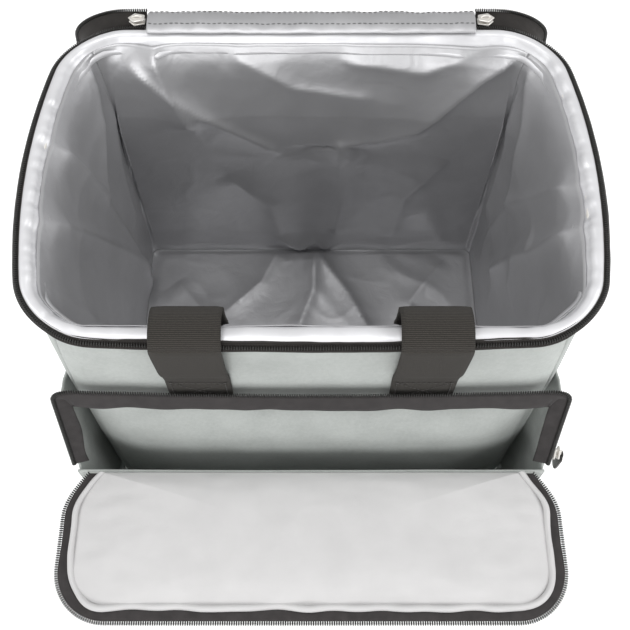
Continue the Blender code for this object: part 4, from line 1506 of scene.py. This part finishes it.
class COOLER_OT_flap(bpy.types.Operator):
    """Make the pocket's flap: fabric below, padded lining above, bound edge and its half of the zip"""

    bl_idname = "cooler.flap"
    bl_label = "Pocket flap"

    def execute(self, context):
        low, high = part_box("flap_panel")
        level = high.z
        made = []

        def outer_point(station, reach):
            edge = flap_edge(station, 0.4 * MM)
            centre = Vector((0, (low.y + high.y) / 2, 0))
            point = centre + (edge - centre) * reach
            sag = -0.9 * MM * (1 + ripple(point, 45 * MM, 91)) * (1 - reach**4)
            return point + Vector((0, 0, level - 1.5 * MM + sag))

        def lining_point(station, reach):
            edge = flap_edge(station, 3.6 * MM)
            centre = Vector((0, (low.y + high.y) / 2, 0))
            point = centre + (edge - centre) * reach
            puff = 8 * MM * (1 - reach**4)
            fold = 1.0 * MM * ripple(point, 50 * MM, 95) + 0.5 * MM * crinkle(point, 60 * MM, 97)
            fold += 1.5 * MM * ripple((point.x * 0.8, point.y * 2, 0), 15 * MM, 99) * reach**4
            return point + Vector((0, 0, level + 1.4 * MM + puff + fold * (1 - reach**8)))

        panel = cloth("flap_fabric", filled(46, outer_point), "Heather polyester", 1.0 * MM, flip=True)
        lining = cloth("flap_lining_cloth", filled(60, lining_point), "Pocket lining", 0.8 * MM)
        made += [(panel, "fabric", "flap_panel"), (lining, "lining", "flap_lining")]
        path = []
        for point, out, up in flap_run(2.9 * MM, 420, level + 1.3 * MM):
            wave = 1.9 * MM * ripple(point, 21 * MM, 101)
            path.append((point + out * wave + up * wave, out, up))
        section = mm((2.0, 0), (1.7, 1.5), (0.6, 2.6), (-0.8, 2.5))
        section += mm((-1.9, 1.2), (-2.0, -0.8), (0, -1.6), (1.6, -1.2))
        made.append((tube("flap_edge_binding", path, section, "Pocket lining"), "lining", "flap_binding"))
        rows = []
        for point, out, up in flap_run(-0.2 * MM, 420, level - 0.6 * MM):
            wave = 0.3 * MM * ripple(point, 20 * MM, 103)
            rows.append([point + out * (k * 1.35 - 2.4) * MM + up * wave * (k / 4) for k in range(6)])
        tape = cloth("flap_tape", rows, "Pocket zip tape", 0.6 * MM, flip=True)
        made.append((tape, "tape", "flap_zip_tape"))
        path = [(p, o, u) for p, o, u in flap_run(-5.6 * MM, 420, level - 0.7 * MM)]
        made.append((coil_teeth("flap_coil", path), "coil", "flap_zip_coil"))
        for piece, slot, node in made:
            face_out(piece.data)
            if node:
                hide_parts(node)
            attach(piece, "pocket_flap")
        wide, deep = high.x - low.x, high.y - low.y
        declare_sheet(wide, deep)
        declare_sheet(wide, deep)
        declare_sheet(wide + 2 * deep, 6.9 * MM)
        return {"FINISHED"}


# ---- sliders -----------------------------------------------------------------------------------


def add_shape(kind, location=(0, 0, 0), scale=(1, 1, 1), rotation=(0, 0, 0), **settings):
    """One primitive, placed and with its scale applied."""
    deselect()
    getattr(bpy.ops.mesh, f"primitive_{kind}_add")(location=location, rotation=rotation, **settings)
    shape = bpy.context.object
    shape.scale = scale
    bpy.ops.object.transform_apply(location=True, rotation=True, scale=True)
    return shape


def rounded(shape, width, segments=2):
    """Round off the sharp edges."""
    bevel = shape.modifiers.new("Bevel", "BEVEL")
    bevel.width, bevel.segments, bevel.limit_method = width, segments, "ANGLE"
    apply_modifiers(shape)
    return shape


def join(shapes, name, material):
    """Make one finished piece of these shapes."""
    deselect()
    for shape in shapes:
        shape.select_set(True)
    bpy.context.view_layer.objects.active = shapes[0]
    bpy.ops.object.join()
    made = bpy.context.object
    made.name = name
    made.data.materials.clear()
    made.data.materials.append(finish(material))
    deselect()
    made.select_set(True)
    bpy.ops.object.shade_smooth_by_angle(angle=math.radians(40))
    return made


def make_slider(name):
    """Two pointed plates held apart by a post, with a bridge for the puller on top. Nose at -X."""
    plates = []
    for height in (0.7 * MM, 3.5 * MM):
        plate = add_shape(
            "cylinder", (0, 0, height), (3.9, 5.6, 0.55), (0, 0, math.pi / 2),
            vertices=5, radius=MM, depth=2 * MM,
        )
        plates.append(rounded(plate, 0.4 * MM, 3))
    post = rounded(add_shape("cube", (2.6 * MM, 0, 2.1 * MM), (1.3, 0.8, 1.4), size=2 * MM), 0.3 * MM)
    bridge = add_shape(
        "torus", (0, 0, 3.5 * MM), (1.5, 1, 1), (math.pi / 2, 0, 0),
        major_radius=1.9 * MM, minor_radius=0.55 * MM, major_segments=28, minor_segments=10,
    )
    return join([*plates, post, bridge], name, "Plated slider")


def make_puller(name, length=22 * MM):
    """A flat tab with an eye at its top, hung down from the origin."""
    end = 3.75 * MM
    on_edge = (math.pi / 2, 0, 0)
    eye = add_shape(
        "torus", (0, 0, -1.2 * MM), rotation=on_edge,
        major_radius=1.9 * MM, minor_radius=0.6 * MM, major_segments=28, minor_segments=10,
    )
    tab = add_shape(
        "cylinder", (0, 0, end - length), rotation=on_edge, vertices=40, radius=end, depth=1.6 * MM
    )
    deselect()
    bpy.context.view_layer.objects.active = tab
    tab.select_set(True)
    bpy.ops.object.mode_set(mode="EDIT")
    bpy.ops.mesh.select_all(action="DESELECT")
    shape = bmesh.from_edit_mesh(tab.data)
    middle = end - length
    for vertex in shape.verts:
        vertex.select_set(vertex.co.z > middle + 0.1 * MM)
    shape.select_flush(True)
    bmesh.update_edit_mesh(tab.data)
    bpy.ops.transform.translate(value=(0, 0, length - 9.4 * MM))
    bpy.ops.mesh.select_all(action="DESELECT")
    bpy.ops.object.mode_set(mode="OBJECT")
    rounded(tab, 0.45 * MM, 3)
    return join([eye, tab], name, "Coated puller")


def put(piece, matrix, body, slot, node):
    """Move a finished piece's mesh to its place and settle it there."""
    piece.data.transform(matrix)
    settle(piece, body, slot, node)


class COOLER_OT_sliders(bpy.types.Operator):
    """Fit the two main sliders, the pocket slider and their pullers"""

    bl_idname = "cooler.sliders"
    bl_label = "Sliders and pullers"

    def execute(self, context):
        for side, sign in (("left", -1), ("right", 1)):
            name = f"main_slider_{side}"
            low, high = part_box(name)
            middle = Vector(((low.x + high.x) / 2, (low.y + high.y) / 2, low.z + 0.2 * MM))
            spin = Matrix.Rotation(math.pi if sign > 0 else 0, 4, "Z")
            put(make_slider(name + "_body"), Matrix.Translation(middle) @ spin, name, "metal", name)
            name = f"main_puller_{side}"
            hang = Vector(JOINTS[f"{name}_swing"]["pos_m"])
            put(make_puller(name + "_tab"), Matrix.Translation(hang), name, "puller", name)
        joint = JOINTS["pocket_slider_run"]
        along = Vector(joint["axis"]).normalized()
        low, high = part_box("pocket_slider")
        middle = (low + high) / 2
        out = Vector((1, 0, 0))
        across = out.cross(along)
        turned = Matrix((along, across, out)).transposed().to_4x4()
        place = Matrix.Translation((low.x, middle.y, middle.z)) @ turned
        put(make_slider("pocket_slider_body"), place, "pocket_slider", "metal", "pocket_slider")
        hang = Vector(JOINTS["pocket_puller_swing"]["pos_m"])
        quarter = Matrix.Rotation(math.pi / 2, 4, "Z")
        place = Matrix.Translation(hang) @ quarter
        put(make_puller("pocket_puller_tab"), place, "pocket_puller", "puller", "pocket_puller")
        return {"FINISHED"}


# ---- stage -------------------------------------------------------------------------------------


def soft_light(name, location, target, size, power):
    """A round area light aimed at a point."""
    deselect()
    bpy.ops.object.light_add(type="AREA", location=location)
    lamp = bpy.context.object
    lamp.name = name
    lamp.data.shape = "DISK"
    lamp.data.size = size
    lamp.data.energy = power
    lamp.rotation_euler = (Vector(target) - Vector(location)).to_track_quat("-Z", "Y").to_euler()
    return lamp


class COOLER_OT_stage(bpy.types.Operator):
    """Set the pale floor, the soft light and the camera"""

    bl_idname = "cooler.stage"
    bl_label = "Stage"

    def execute(self, context):
        scene = context.scene
        deselect()
        bpy.ops.mesh.primitive_plane_add(size=12)
        floor = context.object
        floor.name = "stage_floor"
        made, _, shader = new_material("Matt white board", linear_colour("#FCFCFC"), 0.95)
        shader.inputs["Emission Color"].default_value = (1, 1, 1, 1)
        shader.inputs["Emission Strength"].default_value = 0.25
        floor.data.materials.append(made)
        lamps = [
            soft_light("stage_key", (-0.1, -0.1, 1.6), (0, 0, 0.1), 0.7, 5.5),
            soft_light("stage_fill", (-0.25, -1.5, 0.85), (0, 0, 0.12), 0.9, 9),
            soft_light("stage_left", (-1.2, -0.2, 1.05), (0, 0, 0.15), 0.8, 4.5),
            soft_light("stage_right", (1.2, -0.2, 1.05), (0, 0, 0.15), 0.8, 8),
        ]
        world = bpy.data.worlds.new("Studio")
        scene.world = world
        world.use_nodes = True
        world.node_tree.nodes["Background"].inputs["Color"].default_value = (1, 1, 1, 1)
        world.node_tree.nodes["Background"].inputs["Strength"].default_value = 0.55
        bpy.ops.object.camera_add(location=(0, -0.2985, 0.6427), rotation=(math.radians(27.4), 0, 0))
        camera = context.object
        camera.name = "stage_camera"
        camera.data.lens = 50.4
        camera.data.sensor_width = 36
        camera.data.shift_x = 0.006
        camera.data.dof.use_dof = False
        scene.camera = camera
        scene.view_settings.view_transform = "Standard"
        return {"FINISHED"}


class COOLER_PT_panel(bpy.types.Panel):
    """Lists the cooler bag's pieces, sizes and colours"""

    bl_idname = "COOLER_PT_panel"
    bl_label = "Insulated cooler bag"
    bl_space_type = "VIEW_3D"
    bl_region_type = "UI"
    bl_category = "Cooler bag"

    def draw(self, context):
        for group in (context.scene.cooler_bag_sizes, context.scene.cooler_bag_colours):
            box = self.layout.box()
            for name in type(group).__annotations__:
                box.prop(group, name)
        column = self.layout.column(align=True)
        for operator in OPERATORS:
            column.operator(operator.bl_idname)


OPERATORS = (
    COOLER_OT_shell,
    COOLER_OT_foam,
    COOLER_OT_liner,
    COOLER_OT_rim,
    COOLER_OT_lid,
    COOLER_OT_hinge_strip,
    COOLER_OT_straps,
    COOLER_OT_handles,
    COOLER_OT_pouch,
    COOLER_OT_pocket_zip,
    COOLER_OT_flap,
    COOLER_OT_sliders,
    COOLER_OT_stage,
)
CLASSES = (CoolerBagSizes, CoolerBagColours, *OPERATORS, COOLER_PT_panel)


def register():
    for made in CLASSES:
        bpy.utils.register_class(made)
    bpy.types.Scene.cooler_bag_sizes = bpy.props.PointerProperty(type=CoolerBagSizes)
    bpy.types.Scene.cooler_bag_colours = bpy.props.PointerProperty(type=CoolerBagColours)


def unregister():
    del bpy.types.Scene.cooler_bag_colours
    del bpy.types.Scene.cooler_bag_sizes
    for made in reversed(CLASSES):
        bpy.utils.unregister_class(made)


def main():
    register()
    for operator in OPERATORS:
        group, name = operator.bl_idname.split(".")
        result = getattr(getattr(bpy.ops, group), name)()
        if result != {"FINISHED"}:
            raise RuntimeError(f"{operator.bl_label} didn't finish")


if __name__ == "__main__":
    main()
